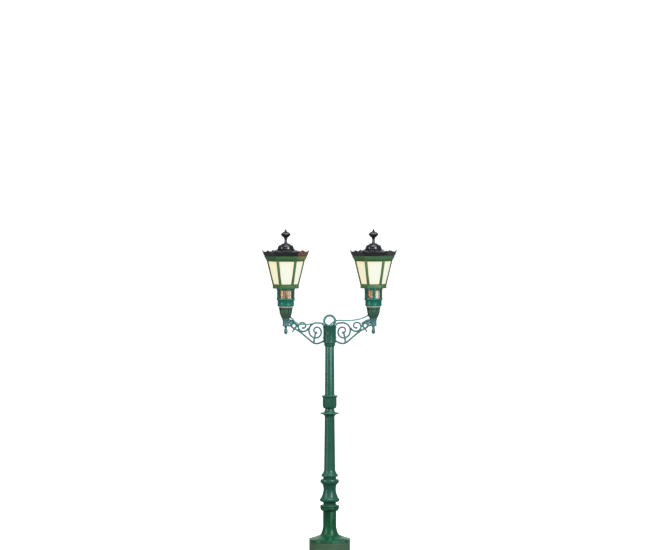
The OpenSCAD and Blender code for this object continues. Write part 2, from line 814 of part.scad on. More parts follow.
// Outer radius of the cup at height z
function cup_radius(z) = cup_foot_r + (cup_rim_r - cup_foot_r) * z / cup_h + 6 * sin(180 * z / cup_h);

// Where the feed cable crosses the cup's wall, and the frame of the gland there
module at_gland(side) {
    entry = side == right ? right_entry : left_entry;
    slope = side == right ? right_slope : left_slope;
    at_lantern(side, cup_z + entry) rotate([0, 0, side == right ? 0 : 180])
        translate([-cup_radius(entry), 0, 0]) rotate([0, 90 - slope, 0]) children();
}

module lantern_cup(side) {
    floor_z = 12;
    socket_z = cup_h - socket_depth;
    stud_r = boss_bore_r - 1 + screw_gap;
    color("#2c5f4d")
    difference() {
        at_lantern(side, cup_z) turned(concat([[stud_r, 0]],
            bowed([cup_foot_r, 0], [cup_rim_r, cup_h], 6, 10),
            [[socket_r, cup_h], [socket_r, socket_z], [socket_r - 6, socket_z],
            [22, floor_z + 8], [stud_r, floor_z]]));
        at_gland(side) translate([0, 0, -20]) cylinder(r = gland_r, h = 52);
        at_lantern(side, cup_z + set_screw_z) rotate([0, 90, set_screw_turn])
            translate([0, 0, socket_r - 6]) cylinder(r = set_screw_r + screw_gap, h = cup_rim_r);
    }
}

module set_screws() {
    key_r = 4.5;
    color("black") for (side = [left, right])
        at_lantern(side, cup_z + set_screw_z) rotate([0, 90, set_screw_turn])
        difference() {
            translate([0, 0, socket_r - screw_gap]) cylinder(r = set_screw_r, h = 14);
            translate([0, 0, socket_r + 7]) cylinder(r = key_r, h = 14, $fn = hex);
        }
}

module cable_gland(side) {
    color("black") at_gland(side) difference() {
        union() {
            translate([0, 0, -7]) cylinder(r = gland_r - screw_gap, h = 21);
            translate([0, 0, -10]) cylinder(r = gland_r - 2, h = 5);
        }
        translate([0, 0, -20]) cylinder(r = cable_r + 0.3, h = 52);
    }
}

// Points on the gland's axis, so that the cable runs straight through it
function cup_route(entry, slope) =
    let (out = [arm_x - cup_radius(entry), 0, boss_rise + boss_h + entry], way = [cos(slope), 0, sin(slope)])
    [for (d = [-24, -12, 0, 12, 24]) out + d * way];

// From the gland up the middle of the cup and neck to the lamp holder
function lamp_lead(entry) = [[arm_x - 12, 0, cup_z - hub_z + entry + 38],
    [arm_x - 4, 0, cup_z - hub_z + 96], [arm_x, 0, gasket_z - hub_z],
    [arm_x, 0, sleeve_z - hub_z + 20], [arm_x, 0, holder_z - hub_z - 0.5]];

module feed_cable(side) {
    entry = side == right ? right_entry : left_entry;
    slope = side == right ? right_slope : left_slope;
    route = concat(side == right ? right_route : left_route, cup_route(entry, slope), lamp_lead(entry));
    placed = [for (p = smooth(route, 2)) [side * p.x, p.y, p.z + hub_z]];
    color("#3f9683") cable(placed, cable_r, [0, 1, 0]);
}

module gasket(side) {
    color("#d8d6b4") at_lantern(side, gasket_z) ring(cup_rim_r + 6, socket_r, gasket_t);
}

module neck_sleeve(side) {
    in_r = sleeve_r - neck_wall;
    spigot_r = socket_r - screw_gap;
    spigot_h = socket_depth + gasket_t - 2;
    floor_h = 12;
    shelf_z = holder_z - sleeve_z;
    color("#23684f") at_lantern(side, sleeve_z) turned([
        [spigot_r - 8, -spigot_h], [spigot_r, -spigot_h], [spigot_r, 0], [sleeve_r - 2, 0],
        [sleeve_r, 3], [sleeve_r, sleeve_h - 16], [cage_r, sleeve_h - 6], [cage_r, sleeve_h],
        [in_r, sleeve_h], [in_r, shelf_z], [26, shelf_z], [26, shelf_z - 8], [in_r, shelf_z - 8],
        [in_r, floor_h], [spigot_r - 8, floor_h]]);
}

module neck_cage(side) {
    color("#23684f") at_lantern(side, cage_z) difference() {
        ring(cage_r, cage_r - neck_wall, cage_h);
        around(6) translate([cage_r / 2, -window_w / 2, window_z])
            cube([cage_r, window_w, cage_h - window_z - window_top]);
    }
}

module lamp_holder(side) {
    floor_h = 6;
    shield_r = sleeve_r - neck_wall - 2;
    shield_t = 4;
    color("#b87333") at_lantern(side, holder_z) turned([[0, 0], [shield_r, 0],
        [shield_r, holder_h], [shield_r - shield_t, holder_h], [shield_r - shield_t, 5],
        [holder_r + 8, 5], [holder_r, 8], [holder_r, holder_h - 6], [holder_r + 3, holder_h - 4],
        [holder_r + 3, holder_h], [holder_r - 5, holder_h], [holder_r - 5, floor_h], [0, floor_h]]);
}

module lamp(side) {
    cap_h = 90;
    cap_r = holder_r - 8;
    glass_h = 190;
    color("lightyellow") at_lantern(side, holder_z + 30) turned(concat([[0, 0], [cap_r, 4],
        [cap_r, cap_h]], [[cap_r, holder_h - 20]],
        level_then_up([cap_r, holder_h - 16], [lamp_r, holder_h + 60]),
        [for (a = [15:15:90]) [lamp_r * cos(a), cap_h + glass_h + lamp_r * sin(a)]]));
}

// ---- Lantern body ----

module bottom_rail(side) {
    wall = 10;
    floor_h = 8;
    color("#2f6b4a") at_lantern(side, rail_z) difference() {
        hexagon(foot_corner_r, foot_corner_r, rail_h);
        translate([0, 0, floor_h]) hexagon(foot_corner_r - wall, foot_corner_r - wall, rail_h);
        translate([0, 0, -past]) cylinder(r = cage_r - neck_wall - 4, h = rail_h);
    }
}

module corner_bars(side) {
    inner = flange_t / sin(60);
    arm = flange_w * [cos(120), sin(120)];
    back = flange_t * [cos(210), sin(210)];
    color("#3d6f3f") at_lantern(side, pane_z) around(hex)
    intersection() {
        translate([foot_corner_r, 0, 0]) rotate([0, pane_tilt, 0]) translate([0, 0, -20])
            linear_extrude(pane_h / cos(pane_tilt) + 40)
                polygon([[0, 0], arm, arm + back, [-inner, 0], [arm.x + back.x, -arm.y - back.y],
                    [arm.x, -arm.y]]);
        translate([0, -flange_w * 2, 0]) cube([2 * head_corner_r, flange_w * 4, pane_h]);
    }
}

module panes(side) {
    gap = 5;
    inset = flange_t + 1;
    low_w = foot_corner_r - 2 * (inset + gap) * tan(30) - gap;
    high_w = head_corner_r - 2 * (inset + gap) * tan(30) - gap;
    length = pane_h / cos(flat_tilt);
    color("#f4efce", 0.85) at_lantern(side, pane_z) around(hex, 30)
    intersection() {
        translate([foot_corner_r * flat - inset - pane_t, 0, 0]) rotate([0, flat_tilt, 0])
            rotate([90, 0, 90]) linear_extrude(pane_t)
                polygon([[-low_w / 2, -4], [low_w / 2, -4], [high_w / 2, length + 4],
                    [-high_w / 2, length + 4]]);
        translate([0, -head_corner_r, 0.5]) cube([2 * head_corner_r, 2 * head_corner_r, pane_h - 1]);
    }
}

module knuckle(x, w) {
    translate([x, hinge_out, hinge_z]) rotate([0, 90, 0]) cylinder(r = barrel_r, h = w);
}

module top_band(side) {
    inner_r = head_corner_r - band_wall;
    color("#2f6b4a") at_lantern(side, 0) difference() {
        union() {
            difference() {
                translate([0, 0, band_z]) hexagon(band_r, band_top_r, band_h);
                translate([0, 0, band_z - past]) hexagon(inner_r, inner_r, band_h + 2 * past);
            }
            for (x = [-knuckle_at - knuckle_w, knuckle_at]) {
                knuckle(x, knuckle_w);
                translate([x, inner_r, hinge_z - barrel_r])
                    cube([knuckle_w, hinge_out - inner_r, barrel_r + 2]);
            }
        }
        translate([-knuckle_at * 2, hinge_out, hinge_z]) rotate([0, 90, 0])
            cylinder(r = pin_r + run_gap, h = knuckle_at * 4);
    }
}

module roof_pin(side) {
    half = knuckle_at + knuckle_w + 2;
    color("silver") at_lantern(side, hinge_z) translate([0, hinge_out, 0]) rotate([0, 90, 0]) {
        translate([0, 0, -half]) cylinder(r = pin_r, h = 2 * half);
        for (z = [-half - 3, half]) translate([0, 0, z]) cylinder(r = pin_r + 2, h = 3);
    }
}

module roof(side) {
    shell = 6;
    top_r = dome_r + 6;
    lug = knuckle_at - cover_gap / 2 - knuckle_w;
    color("#1d1d20") at_lantern(side, 0) difference() {
        union() {
            translate([0, 0, roof_z]) hexagon(roof_r, roof_r, roof_rim_h);
            translate([0, 0, crown_z]) hexagon(roof_r - crown_t - 8, top_r, roof_rise);
            for (x = [lug, -lug - knuckle_w]) {
                knuckle(x, knuckle_w);
                translate([x, roof_r * flat - 12, roof_z])
                    cube([knuckle_w, hinge_out - roof_r * flat + 12, roof_rim_h]);
            }
        }
        translate([0, 0, roof_z - past])
            hexagon(roof_r - crown_t - 12, top_r - 8, roof_rise + roof_rim_h - shell + past);
        translate([-knuckle_at * 2, hinge_out, hinge_z]) rotate([0, 90, 0])
            cylinder(r = pin_r + run_gap, h = knuckle_at * 4);
    }
}

module crown(side) {
    scoop_r = 62;
    scoops = 2;
    mid_w = roof_r + crown_lean;
    color("#1d1d20") at_lantern(side, crown_z) difference() {
        hexagon(roof_r + 2, roof_r + 2 + crown_lean, crown_h);
        translate([0, 0, -past]) hexagon(roof_r + 2 - crown_t, roof_r + 3 + crown_lean - crown_t,
            crown_h + 2 * past);
        around(hex, 30) for (i = [0:scoops - 1])
            translate([mid_w / 2, (i - (scoops - 1) / 2) * mid_w / scoops, crown_h + scoop_r - 14])
                rotate([0, 90, 0]) cylinder(r = scoop_r, h = mid_w);
    }
}

module vent_dome(side) {
    wall = 5;
    foot_h = 8;
    outer = concat([[dome_r, 0], [dome_r + 2, foot_h]],
        up_then_level([dome_r - 2, foot_h], [stem_r + 6, dome_h], 10));
    inner = concat([[0, dome_h - wall]],
        reversed(up_then_level([dome_r - 2 - wall, foot_h], [stem_r, dome_h - wall], 10)),
        [[dome_r - 2 - wall, 0]]);
    color("#1d1d20") at_lantern(side, dome_z) turned(concat([[0, dome_h]], inner, outer));
}

module finial(side) {
    stem_h = finial_h * 0.36;
    knob_z = finial_h * 0.61;
    knob_top = finial_h * 0.83;
    color("#1d1d20") at_lantern(side, finial_z) turned(concat([[0, 0], [stem_r + 6, 0],
        [stem_r + 4, 6], [stem_r, 9], [stem_r - 2, stem_h - 14], [stem_r + 4, stem_h - 10],
        [stem_r + 4, stem_h - 3], [stem_r - 2, stem_h]],
        bowed([stem_r + 2, stem_h + 2], [knob_r, knob_z], 5),
        bowed([knob_r, knob_z + 3], [12, knob_top], 5),
        [[8, knob_top + 3], [10, knob_top + 10], [4, finial_h - 6], [0, finial_h]]));
}

base_plate();
base_drum();
drum_top_ring();
mast_tube();
foot_bolts();
skirt_casting();
skirt_screws();
baluster_casting();
lower_shaft();
tulip_collar();
upper_shaft();
hub();
eye_ring();
arm_bolts();
fuse_box();
fuse_box_cover();
mast_cable();
hub_terminal();
access_door();
door_hinge_pin();
door_lock();
set_screws();
arm_bracket(left);  // arm_bracket_left
pendant(left);  // pendant_left
lantern_cup(left);  // lantern_cup_left
cable_gland(left);  // cable_gland_left
feed_cable(left);  // feed_cable_left
gasket(left);  // gasket_left
neck_sleeve(left);  // neck_sleeve_left
neck_cage(left);  // neck_cage_left
lamp_holder(left);  // lamp_holder_left
lamp(left);  // lamp_left
bottom_rail(left);  // bottom_rail_left
corner_bars(left);  // corner_bars_left
panes(left);  // panes_left
top_band(left);  // top_band_left
roof_pin(left);  // roof_pin_left
roof(left);  // roof_left
crown(left);  // crown_left
vent_dome(left);  // vent_dome_left
finial(left);  // finial_left
arm_bracket(right);  // arm_bracket_right
pendant(right);  // pendant_right
lantern_cup(right);  // lantern_cup_right
cable_gland(right);  // cable_gland_right
feed_cable(right);  // feed_cable_right
gasket(right);  // gasket_right
neck_sleeve(right);  // neck_sleeve_right
neck_cage(right);  // neck_cage_right
lamp_holder(right);  // lamp_holder_right
lamp(right);  // lamp_right
bottom_rail(right);  // bottom_rail_right
corner_bars(right);  // corner_bars_right
panes(right);  // panes_right
top_band(right);  // top_band_right
roof_pin(right);  // roof_pin_right
roof(right);  // roof_right
crown(right);  // crown_right
vent_dome(right);  // vent_dome_right
finial(right);  // finial_right
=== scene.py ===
# %% [markdown]
# # A twin-lantern street lamp post
# A cast post: turned sleeves are threaded on a steel core tube, two scrolled brackets are
# bolted to a hub near its top, and each bracket carries a six-sided lantern of opal glass.
# The engineering model is loaded first. It fixes where everything is and what moves, and
# every piece made here is built around it, in metres, without moving any of it.

# %% Load the frame
import json
import math

import bpy
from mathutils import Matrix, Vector

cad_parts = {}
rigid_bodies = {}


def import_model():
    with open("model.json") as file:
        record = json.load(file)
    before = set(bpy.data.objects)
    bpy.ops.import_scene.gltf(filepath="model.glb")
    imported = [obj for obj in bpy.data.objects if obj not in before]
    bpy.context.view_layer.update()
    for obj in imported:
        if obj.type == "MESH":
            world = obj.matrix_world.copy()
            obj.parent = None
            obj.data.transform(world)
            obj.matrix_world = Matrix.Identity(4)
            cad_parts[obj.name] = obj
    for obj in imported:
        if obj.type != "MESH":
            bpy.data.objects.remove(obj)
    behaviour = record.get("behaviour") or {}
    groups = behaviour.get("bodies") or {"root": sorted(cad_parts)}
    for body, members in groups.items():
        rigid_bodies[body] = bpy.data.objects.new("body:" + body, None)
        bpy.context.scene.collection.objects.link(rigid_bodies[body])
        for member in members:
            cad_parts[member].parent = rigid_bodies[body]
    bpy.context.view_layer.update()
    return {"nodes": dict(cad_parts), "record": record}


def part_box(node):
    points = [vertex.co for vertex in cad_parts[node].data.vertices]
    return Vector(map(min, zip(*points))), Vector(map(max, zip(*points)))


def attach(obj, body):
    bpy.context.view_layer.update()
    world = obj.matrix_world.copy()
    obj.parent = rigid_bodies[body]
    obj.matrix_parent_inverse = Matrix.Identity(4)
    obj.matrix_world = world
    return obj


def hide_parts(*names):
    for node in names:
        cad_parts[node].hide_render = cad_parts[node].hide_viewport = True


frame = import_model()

MM = 0.001
SIDES = {"left": -1, "right": 1}

# %% [markdown]
# ## Camera, light and floor
# The post is seen from a long way off with a long lens, so its upright lines stay upright.
# The camera stands a little to the left and a little above the lanterns. One large soft lamp
# on each side and one overhead leave a darker strip down the middle of every round casting,
# which is what makes gloss paint look like paint. A weak one behind keeps the back readable.

# %% Camera
LANTERN_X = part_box("lantern_cup_right")[0].lerp(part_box("lantern_cup_right")[1], 0.5).x
VIEW_TURN = math.radians(4)
VIEW_FALL = math.radians(2)
VIEW_FAR = 34.0
aim = Vector((0.004, 0, 3.262))
sight = Vector((math.sin(VIEW_TURN) * math.cos(VIEW_FALL), math.cos(VIEW_TURN) * math.cos(VIEW_FALL),
                -math.sin(VIEW_FALL)))
bpy.ops.object.camera_add(location=aim - sight * VIEW_FAR,
                          rotation=sight.to_track_quat("-Z", "Y").to_euler())
camera = bpy.context.object
camera.name = "front_camera"
camera.data.lens = 163
camera.data.clip_end = 200
bpy.context.scene.camera = camera
print("camera stands at", [round(v, 2) for v in camera.location])


# %% Floor and lights
def studio_paint(name, colour, glow=0.0):
    """A plain finish for the things of the studio, which are not part of the post."""
    made = bpy.data.materials.new(name)
    made.use_nodes = True
    shader = made.node_tree.nodes["Principled BSDF"]
    shader.inputs["Base Color"].default_value = (*colour, 1)
    shader.inputs["Roughness"].default_value = 0.9
    shader.inputs["Emission Color"].default_value = (*colour, 1)
    shader.inputs["Emission Strength"].default_value = glow
    return made


def camera_only(thing):
    """Seen by the camera, but it sheds no light on the post and is not mirrored in its paint."""
    thing.visible_diffuse = thing.visible_glossy = thing.visible_transmission = thing.visible_shadow = False


FLOOR_WIDE = 160
bpy.ops.mesh.primitive_plane_add(size=FLOOR_WIDE, location=(0, 0, 0))
floor = bpy.context.object
floor.name = "pale_floor"
floor.data.materials.append(studio_paint("pale_floor_paint", (1, 1, 1), 1.0))
camera_only(floor)
bpy.ops.mesh.primitive_uv_sphere_add(segments=48, ring_count=24, radius=FLOOR_WIDE / 2)
backdrop = bpy.context.object
backdrop.name = "pale_backdrop"
backdrop.data.materials.append(studio_paint("pale_backdrop_paint", (1, 1, 1), 1.0))
camera_only(backdrop)


def soft_lamp(name, place, target, wide, high, watts):
    """A large flat lamp that looks at the target."""
    way = Vector(target) - Vector(place)
    bpy.ops.object.light_add(type="AREA", location=place,
                             rotation=way.to_track_quat("-Z", "Y").to_euler())
    lamp = bpy.context.object
    lamp.name = name
    lamp.data.shape = "RECTANGLE"
    lamp.data.size = wide
    lamp.data.size_y = high
    lamp.data.energy = watts
    return lamp


MIDDLE = (0, 0, 2.0)
soft_lamp("lamp_right", (3.4, -5.6, 5.0), MIDDLE, 2.2, 4.0, 400).data.color = (0.84, 0.92, 1)
soft_lamp("lamp_left", (-5.6, -2.6, 3.8), MIDDLE, 1.0, 5.0, 170)
soft_lamp("lamp_over", (0.5, -1.5, 8.5), MIDDLE, 5.0, 4.0, 260)
soft_lamp("lamp_behind", (0.0, 7.0, 4.0), MIDDLE, 5.0, 4.0, 60)

world = bpy.data.worlds.new("studio_air")
bpy.context.scene.world = world
world.use_nodes = True
world.node_tree.nodes["Background"].inputs["Color"].default_value = (0.93, 0.97, 1, 1)
world.node_tree.nodes["Background"].inputs["Strength"].default_value = 0.24
bpy.context.scene.view_settings.view_transform = "Standard"

# %% [markdown]
# ## Finishes
# Each finish is a small network of nodes. Writing one node at a time hides the idea behind
# bookkeeping, so a `Wire` stands for one socket and knows the usual arithmetic: `0.3 + 0.2 * grain`
# adds the Math nodes by itself. A `Finish` holds one material and adds any other kind of node.


# %% The arithmetic of sockets
class Wire:
    """One output socket. Sums written on it add Math nodes."""

    def __init__(self, finish, socket):
        self.finish, self.socket = finish, socket

    def sum(self, kind, first, second=0.0):
        return self.finish.node("ShaderNodeMath", {"operation": kind}, {0: first, 1: second})

    def __add__(self, other):
        return self.sum("ADD", self, other)

    def __sub__(self, other):
        return self.sum("SUBTRACT", self, other)

    def __rsub__(self, other):
        return self.sum("SUBTRACT", other, self)

    def __mul__(self, other):
        return self.sum("MULTIPLY", self, other)

    __radd__ = __add__
    __rmul__ = __mul__

    def least(self, other):
        return self.sum("MINIMUM", self, other)

    def between(self, low, high):
        """0 below low, 1 above high, and a smooth step between them."""
        return self.finish.node("ShaderNodeMapRange", {"interpolation_type": "SMOOTHSTEP"},
                                {0: self, 1: low, 2: high})


class Finish:
    """One material, new or a copy of another, with a single method that adds any node."""

    def __init__(self, name, rough=0.5, metal=0.0, source=None, **settings):
        self.material = source.copy() if source else bpy.data.materials.new(name)
        self.material.name = name
        self.material.use_nodes = True
        self.tree = self.material.node_tree
        self.shader = self.tree.nodes["Principled BSDF"]
        if not source:
            self.shader.inputs["Roughness"].default_value = rough
            self.shader.inputs["Metallic"].default_value = metal
        for socket, value in settings.items():
            self.shader.inputs[socket.replace("_", " ")].default_value = value
        self.place = self.node("ShaderNodeTexCoord", out="Object")

    def node(self, kind, settings=None, inputs=None, out=0):
        """Adds a node: its own settings first, then a value or a link for each socket."""
        made = self.tree.nodes.new(kind)
        for name, value in (settings or {}).items():
            setattr(made, name, value)
        for socket, value in (inputs or {}).items():
            self.join(value, made.inputs[socket])
        return Wire(self, made.outputs[out])

    def join(self, value, socket):
        if isinstance(value, Wire):
            self.tree.links.new(value.socket, socket)
        else:
            socket.default_value = value

    def mix(self, share, first, second):
        """A blend of two colours."""
        first, second = (c if isinstance(c, Wire) else (*c, 1) for c in (first, second))
        return self.node("ShaderNodeMix", {"data_type": "RGBA", "clamp_factor": True},
                         {0: share, 6: first, 7: second}, 2)

    def stretched(self, x, y, z):
        """The place on the piece, with each way scaled by itself."""
        return self.node("ShaderNodeMapping", inputs={"Vector": self.place, "Scale": (x, y, z)})

    def noise(self, scale, detail=3.0, place=None):
        return self.node("ShaderNodeTexNoise", inputs={"Vector": place or self.place, "Scale": scale,
                                                       "Detail": detail})

    def bump(self, height, depth):
        """Puts a height, in metres times depth, on the surface."""
        self.wear("Normal", self.node("ShaderNodeBump", inputs={"Height": height, "Distance": depth}))

    def wear(self, socket, value):
        self.join(value, self.shader.inputs[socket])


def shade(red, green, blue):
    """A screen colour, 0 to 255, as the light values that shaders use."""
    return tuple(((v / 255 + 0.055) / 1.055) ** 2.4 if v > 10 else v / 3294 for v in (red, green, blue))


print("finish tools ready; mid grey is", [round(v, 3) for v in shade(128, 128, 128)])

# %% [markdown]
# ### Paint on cast iron
# Cast iron is never smooth: sand leaves a fine grain, and the paint over it thins at the edges.
# So each paint has broad clouds of colour, a fine grain in the surface, lighter edges that are
# partly paint wear and partly a painted highlight, and painted shade in hollows and creases. Both
# come from the node that tells how pointed a place on the mesh is, so they follow the shape wherever it goes.


# %% Paints
def cast_paint(name, dark, light, edge_wear_and_highlight, rough, grain=0.0006, gloss=0.35, brushed=0.0,
               streak=(60, 60, 3), edged=True):
    """Paint on a casting, from a dark and a light of its colour and the colour of its edges, partly paint
    wear and partly a painted highlight; hollows get painted shade.
    """
    paint = Finish(name, rough, Specular_IOR_Level=gloss)
    clouds = paint.noise(5, 3)
    blots = paint.noise(24, 2)
    brush = paint.noise(1, 3, paint.stretched(*streak))
    share = clouds * 0.9 + blots * 0.3 + brush * brushed - (0.1 + brushed * 0.5)
    body = paint.mix(share, dark, light)
    if edged:
        sharp = paint.node("ShaderNodeNewGeometry", out="Pointiness")
        # painted shade: hollows and creases, less pointed than a flat surface, are darkened towards a quarter
        # of the dark colour
        crease_shade = (1.0 - sharp.between(0.42, 0.495)) * 0.7
        body = paint.mix(crease_shade, body, tuple(0.25 * v for v in dark))
        # paint wear and painted highlight: the most pointed places, the edges, are lightened towards the edge
        # colour
        body = paint.mix(sharp.between(0.52, 0.58) * (0.35 + 0.5 * blots), body, edge_wear_and_highlight)
    paint.wear("Base Color", body)
    paint.wear("Roughness", rough - 0.06 + blots * 0.08 + brush * 0.06)
    sand = paint.noise(620, 2)
    waves = paint.noise(48, 1)
    paint.bump(sand * 0.25 + waves * 0.5 + brush * brushed * 1.2, grain)
    return paint.material


PAINTS = {
    # flat and chalky, with brush marks round the drum
    "drum_paint": cast_paint("drum_paint_matt", shade(60, 88, 62), shade(104, 134, 106),
                             shade(140, 158, 134), 0.66, 0.0009, 0.2, 1.1, (7, 7, 90), edged=False),
    "skirt_paint": cast_paint("skirt_paint_deep_green", shade(0, 66, 34), shade(20, 108, 66),
                              shade(92, 146, 116), 0.26),
    "mast_paint": cast_paint("mast_paint_gloss", shade(16, 74, 56), shade(50, 112, 92),
                             shade(128, 172, 154), 0.24),
    "bracket_paint": cast_paint("bracket_paint_teal", shade(40, 96, 90), shade(86, 140, 136),
                                shade(150, 184, 182), 0.3),
    "neck_paint": cast_paint("neck_paint_dark_teal", shade(0, 84, 66), shade(34, 126, 106),
                             shade(104, 166, 146), 0.28),
    # an olive cast, yellower at the edges, where the paint is thinner and partly a painted highlight
    "lantern_paint": cast_paint("lantern_paint_olive_green", shade(14, 74, 38), shade(52, 108, 70),
                                shade(102, 134, 88), 0.38),
}
print("paints:", sorted(PAINTS))

# %% [markdown]
# ### Enamel, metals, glass, rubber and plastic
# The roofs are stove enamel: black, with a gloss that is clear on top and a little uneven
# below. Zinc shows its crystals, copper and brass tarnish in clouds. The opal panes have a painted
# glow of their own that stands in for the lamp behind them: white in the middle, warmer towards the putty.


# %% Enamel and metals
def black_enamel():
    enamel = Finish("black_enamel_gloss", 0.22, Coat_Weight=0.6, Coat_Roughness=0.08,
                    Specular_IOR_Level=0.45)
    clouds = enamel.noise(24, 3)
    sharp = enamel.node("ShaderNodeNewGeometry", out="Pointiness")
    edges = sharp.between(0.53, 0.60) * (0.15 + 0.5 * clouds)
    tone = enamel.mix(clouds, shade(10, 12, 13), shade(34, 35, 40))
    enamel.wear("Base Color", enamel.mix(edges, tone, shade(112, 74, 52)))
    enamel.wear("Roughness", 0.14 + clouds * 0.2)
    enamel.bump(enamel.noise(40, 1) + enamel.noise(500, 1) * 0.05, 0.0006)
    return enamel.material


def zinc(name, dark, light, rough):
    """Hot-dipped steel: flat crystals, each with its own grey."""
    metal = Finish(name, rough, 0.85)
    crystals = metal.node("ShaderNodeTexVoronoi", {"feature": "F1"},
                          {"Vector": metal.place, "Scale": 160}, "Color")
    tone = metal.node("ShaderNodeSeparateColor", inputs={0: crystals})
    metal.wear("Base Color", metal.mix(tone, dark, light))
    metal.wear("Roughness", rough - 0.08 + tone * 0.2)
    metal.bump(metal.noise(300, 2), 0.0002)
    return metal.material


def tarnished(name, bright, dull, rough):
    """Bare copper or brass under thin brown clouds."""
    metal = Finish(name, rough, 0.9)
    clouds = metal.noise(30, 4)
    spots = metal.noise(210, 2)
    metal.wear("Base Color", metal.mix(clouds.between(0.35, 0.7), bright, dull))
    metal.wear("Roughness", rough - 0.05 + clouds * 0.2 + spots * 0.08)
    metal.bump(spots, 0.0002)
    return metal.material


# %% Glass, rubber, cable and plastic
def opal_glass(name, centre, edge, head):
    """Milk glass with a painted glow, its own emission standing in for the lamp behind it. The pane's own map
    tells how near its edge a place is.
    """
    glass = Finish(name, 0.24, Specular_IOR_Level=0.4, Emission_Strength=0.83)
    across = glass.node("ShaderNodeSeparateXYZ", inputs={0: glass.node("ShaderNodeUVMap")}, out="X")
    up = glass.node("ShaderNodeSeparateXYZ", inputs={0: glass.node("ShaderNodeUVMap")}, out="Y")
    rim = across.least(1.0 - across).least((up * 1.3).least((1.0 - up) * 1.3))
    streaks = glass.noise(1, 2, glass.stretched(40, 40, 7))
    middle = (rim + streaks * 0.12 - 0.06).between(0.02, 0.28)
    warm = glass.mix(up.between(0.7, 1.0), edge, head)
    milk = glass.mix(middle, warm, centre)
    body = glass.mix(streaks, shade(60, 60, 48), shade(96, 94, 76))
    glass.wear("Base Color", glass.mix(0.9, milk, body))
    # painted glow: the pane's emission colour, milk in the middle and warm at the edge
    glass.wear("Emission Color", glass.mix(streaks.between(0.45, 0.85) * 0.3, milk, edge))
    glass.wear("Roughness", 0.2 + streaks * 0.12)
    glass.bump(glass.noise(26, 2), 0.0008)
    return glass.material


def lamp_glass():
    glass = Finish("lamp_glass_frosted", 0.45, Emission_Strength=1.1)
    cloud = glass.noise(60, 2)
    glass.wear("Base Color", glass.mix(cloud, shade(246, 240, 222), shade(232, 226, 206)))
    glass.wear("Emission Color", glass.mix(cloud, shade(255, 240, 205), shade(255, 230, 180)))
    glass.wear("Roughness", 0.4 + cloud * 0.15)
    glass.bump(glass.noise(900, 1), 0.0001)
    return glass.material


def moulded(name, colour, rough, spread=0.14, grain=0.0002, gloss=0.4):
    """Rubber or plastic from a mould: one colour, slightly blotched, with a fine skin."""
    stuff = Finish(name, rough, Specular_IOR_Level=gloss)
    clouds = stuff.noise(22, 3)
    skin = stuff.noise(700, 2)
    dark = tuple(v * (1 - spread) for v in colour)
    light = tuple(min(v * (1 + spread) + 0.004, 1) for v in colour)
    stuff.wear("Base Color", stuff.mix(clouds, dark, light))
    stuff.wear("Roughness", rough - 0.06 + clouds * 0.08 + skin * 0.06)
    stuff.bump(skin + clouds * 2, grain)
    return stuff.material


OTHERS = {
    "black_enamel": black_enamel(),
    "galvanised_steel": zinc("galvanised_steel_crystals", shade(120, 125, 126),
                             shade(176, 180, 180), 0.42),
    "black_steel": zinc("black_steel_oxide", shade(16, 17, 18), shade(44, 44, 46), 0.5),
    "copper": tarnished("copper_warm", shade(206, 146, 98), shade(140, 92, 56), 0.42),
    "brass": tarnished("brass_dull", shade(206, 168, 92), shade(128, 98, 50), 0.38),
    "lamp_glass": lamp_glass(),
    "opal_glass": opal_glass("opal_glass_milky", shade(246, 248, 236), shade(252, 242, 202),
                             shade(250, 236, 186)),
    # a warmer copy of the opal for the panes that face left: painted warm light on that side
    "opal_glass_warm_lit": opal_glass("opal_glass_warm_lit", shade(250, 244, 210),
                                      shade(252, 236, 184), shade(250, 230, 170)),
    "cream_rubber": moulded("cream_rubber", shade(206, 202, 172), 0.6),
    "black_rubber": moulded("black_rubber", shade(26, 26, 27), 0.55),
    "teal_cable": moulded("teal_cable_sheath", shade(72, 148, 142), 0.42, 0.22),
    "black_cable": moulded("black_cable_sheath", shade(22, 22, 24), 0.4),
    "grey_plastic": moulded("grey_plastic", shade(104, 108, 110), 0.45),
    "white_plastic": moulded("cream_porcelain", shade(238, 222, 190), 0.6),
}
MATERIALS = {**PAINTS, **OTHERS}
print(len(MATERIALS), "finishes; record's slots without one:",
      [m["slot"] for m in frame["record"]["materials"] if m["slot"] not in MATERIALS])

# %% [markdown]
# ## Making tools
# A foundry turns its patterns on a lathe, and so does this script: an outline is drawn point
# by point beside the axis and spun round. The curves in an outline are quarter ellipses and
# beads, the mouldings that a pattern maker's gouge leaves.


# %% Curves of a turned outline
def cove(start, end, steps=10):
    """Quarter ellipse that leaves start level and arrives at end upright."""
    turns = [math.radians(90 * i / steps) for i in range(steps + 1)]
    return [(start[0] + (end[0] - start[0]) * math.sin(t), end[1] + (start[1] - end[1]) * math.cos(t))
            for t in turns]


def flare(start, end, steps=10):
    """Half-way between a cove and a straight line."""
    shares = [i / steps for i in range(steps + 1)]
    return [((x + start[0] + (end[0] - start[0]) * s) / 2, (z + start[1] + (end[1] - start[1]) * s) / 2)
            for (x, z), s in zip(cove(start, end, steps), shares)]


def swell(start, end, steps=10):
    """Quarter ellipse that leaves start upright and arrives at end level."""
    turns = [math.radians(90 * i / steps) for i in range(steps + 1)]
    return [(end[0] + (start[0] - end[0]) * math.cos(t), start[1] + (end[1] - start[1]) * math.sin(t))
            for t in turns]


def bowed(start, end, bow, steps=12):
    """Line from start to end with an even bow outwards."""
    shares = [i / steps for i in range(steps + 1)]
    return [(start[0] + (end[0] - start[0]) * s + bow * math.sin(math.pi * s),
             start[1] + (end[1] - start[1]) * s) for s in shares]


def bead(radius, low, tall, depth, steps=10):
    """Half-round bead on an upright line."""
    shares = [i / steps for i in range(steps + 1)]
    return [(radius - depth + depth * math.sin(math.pi * s), low + tall * s) for s in shares]


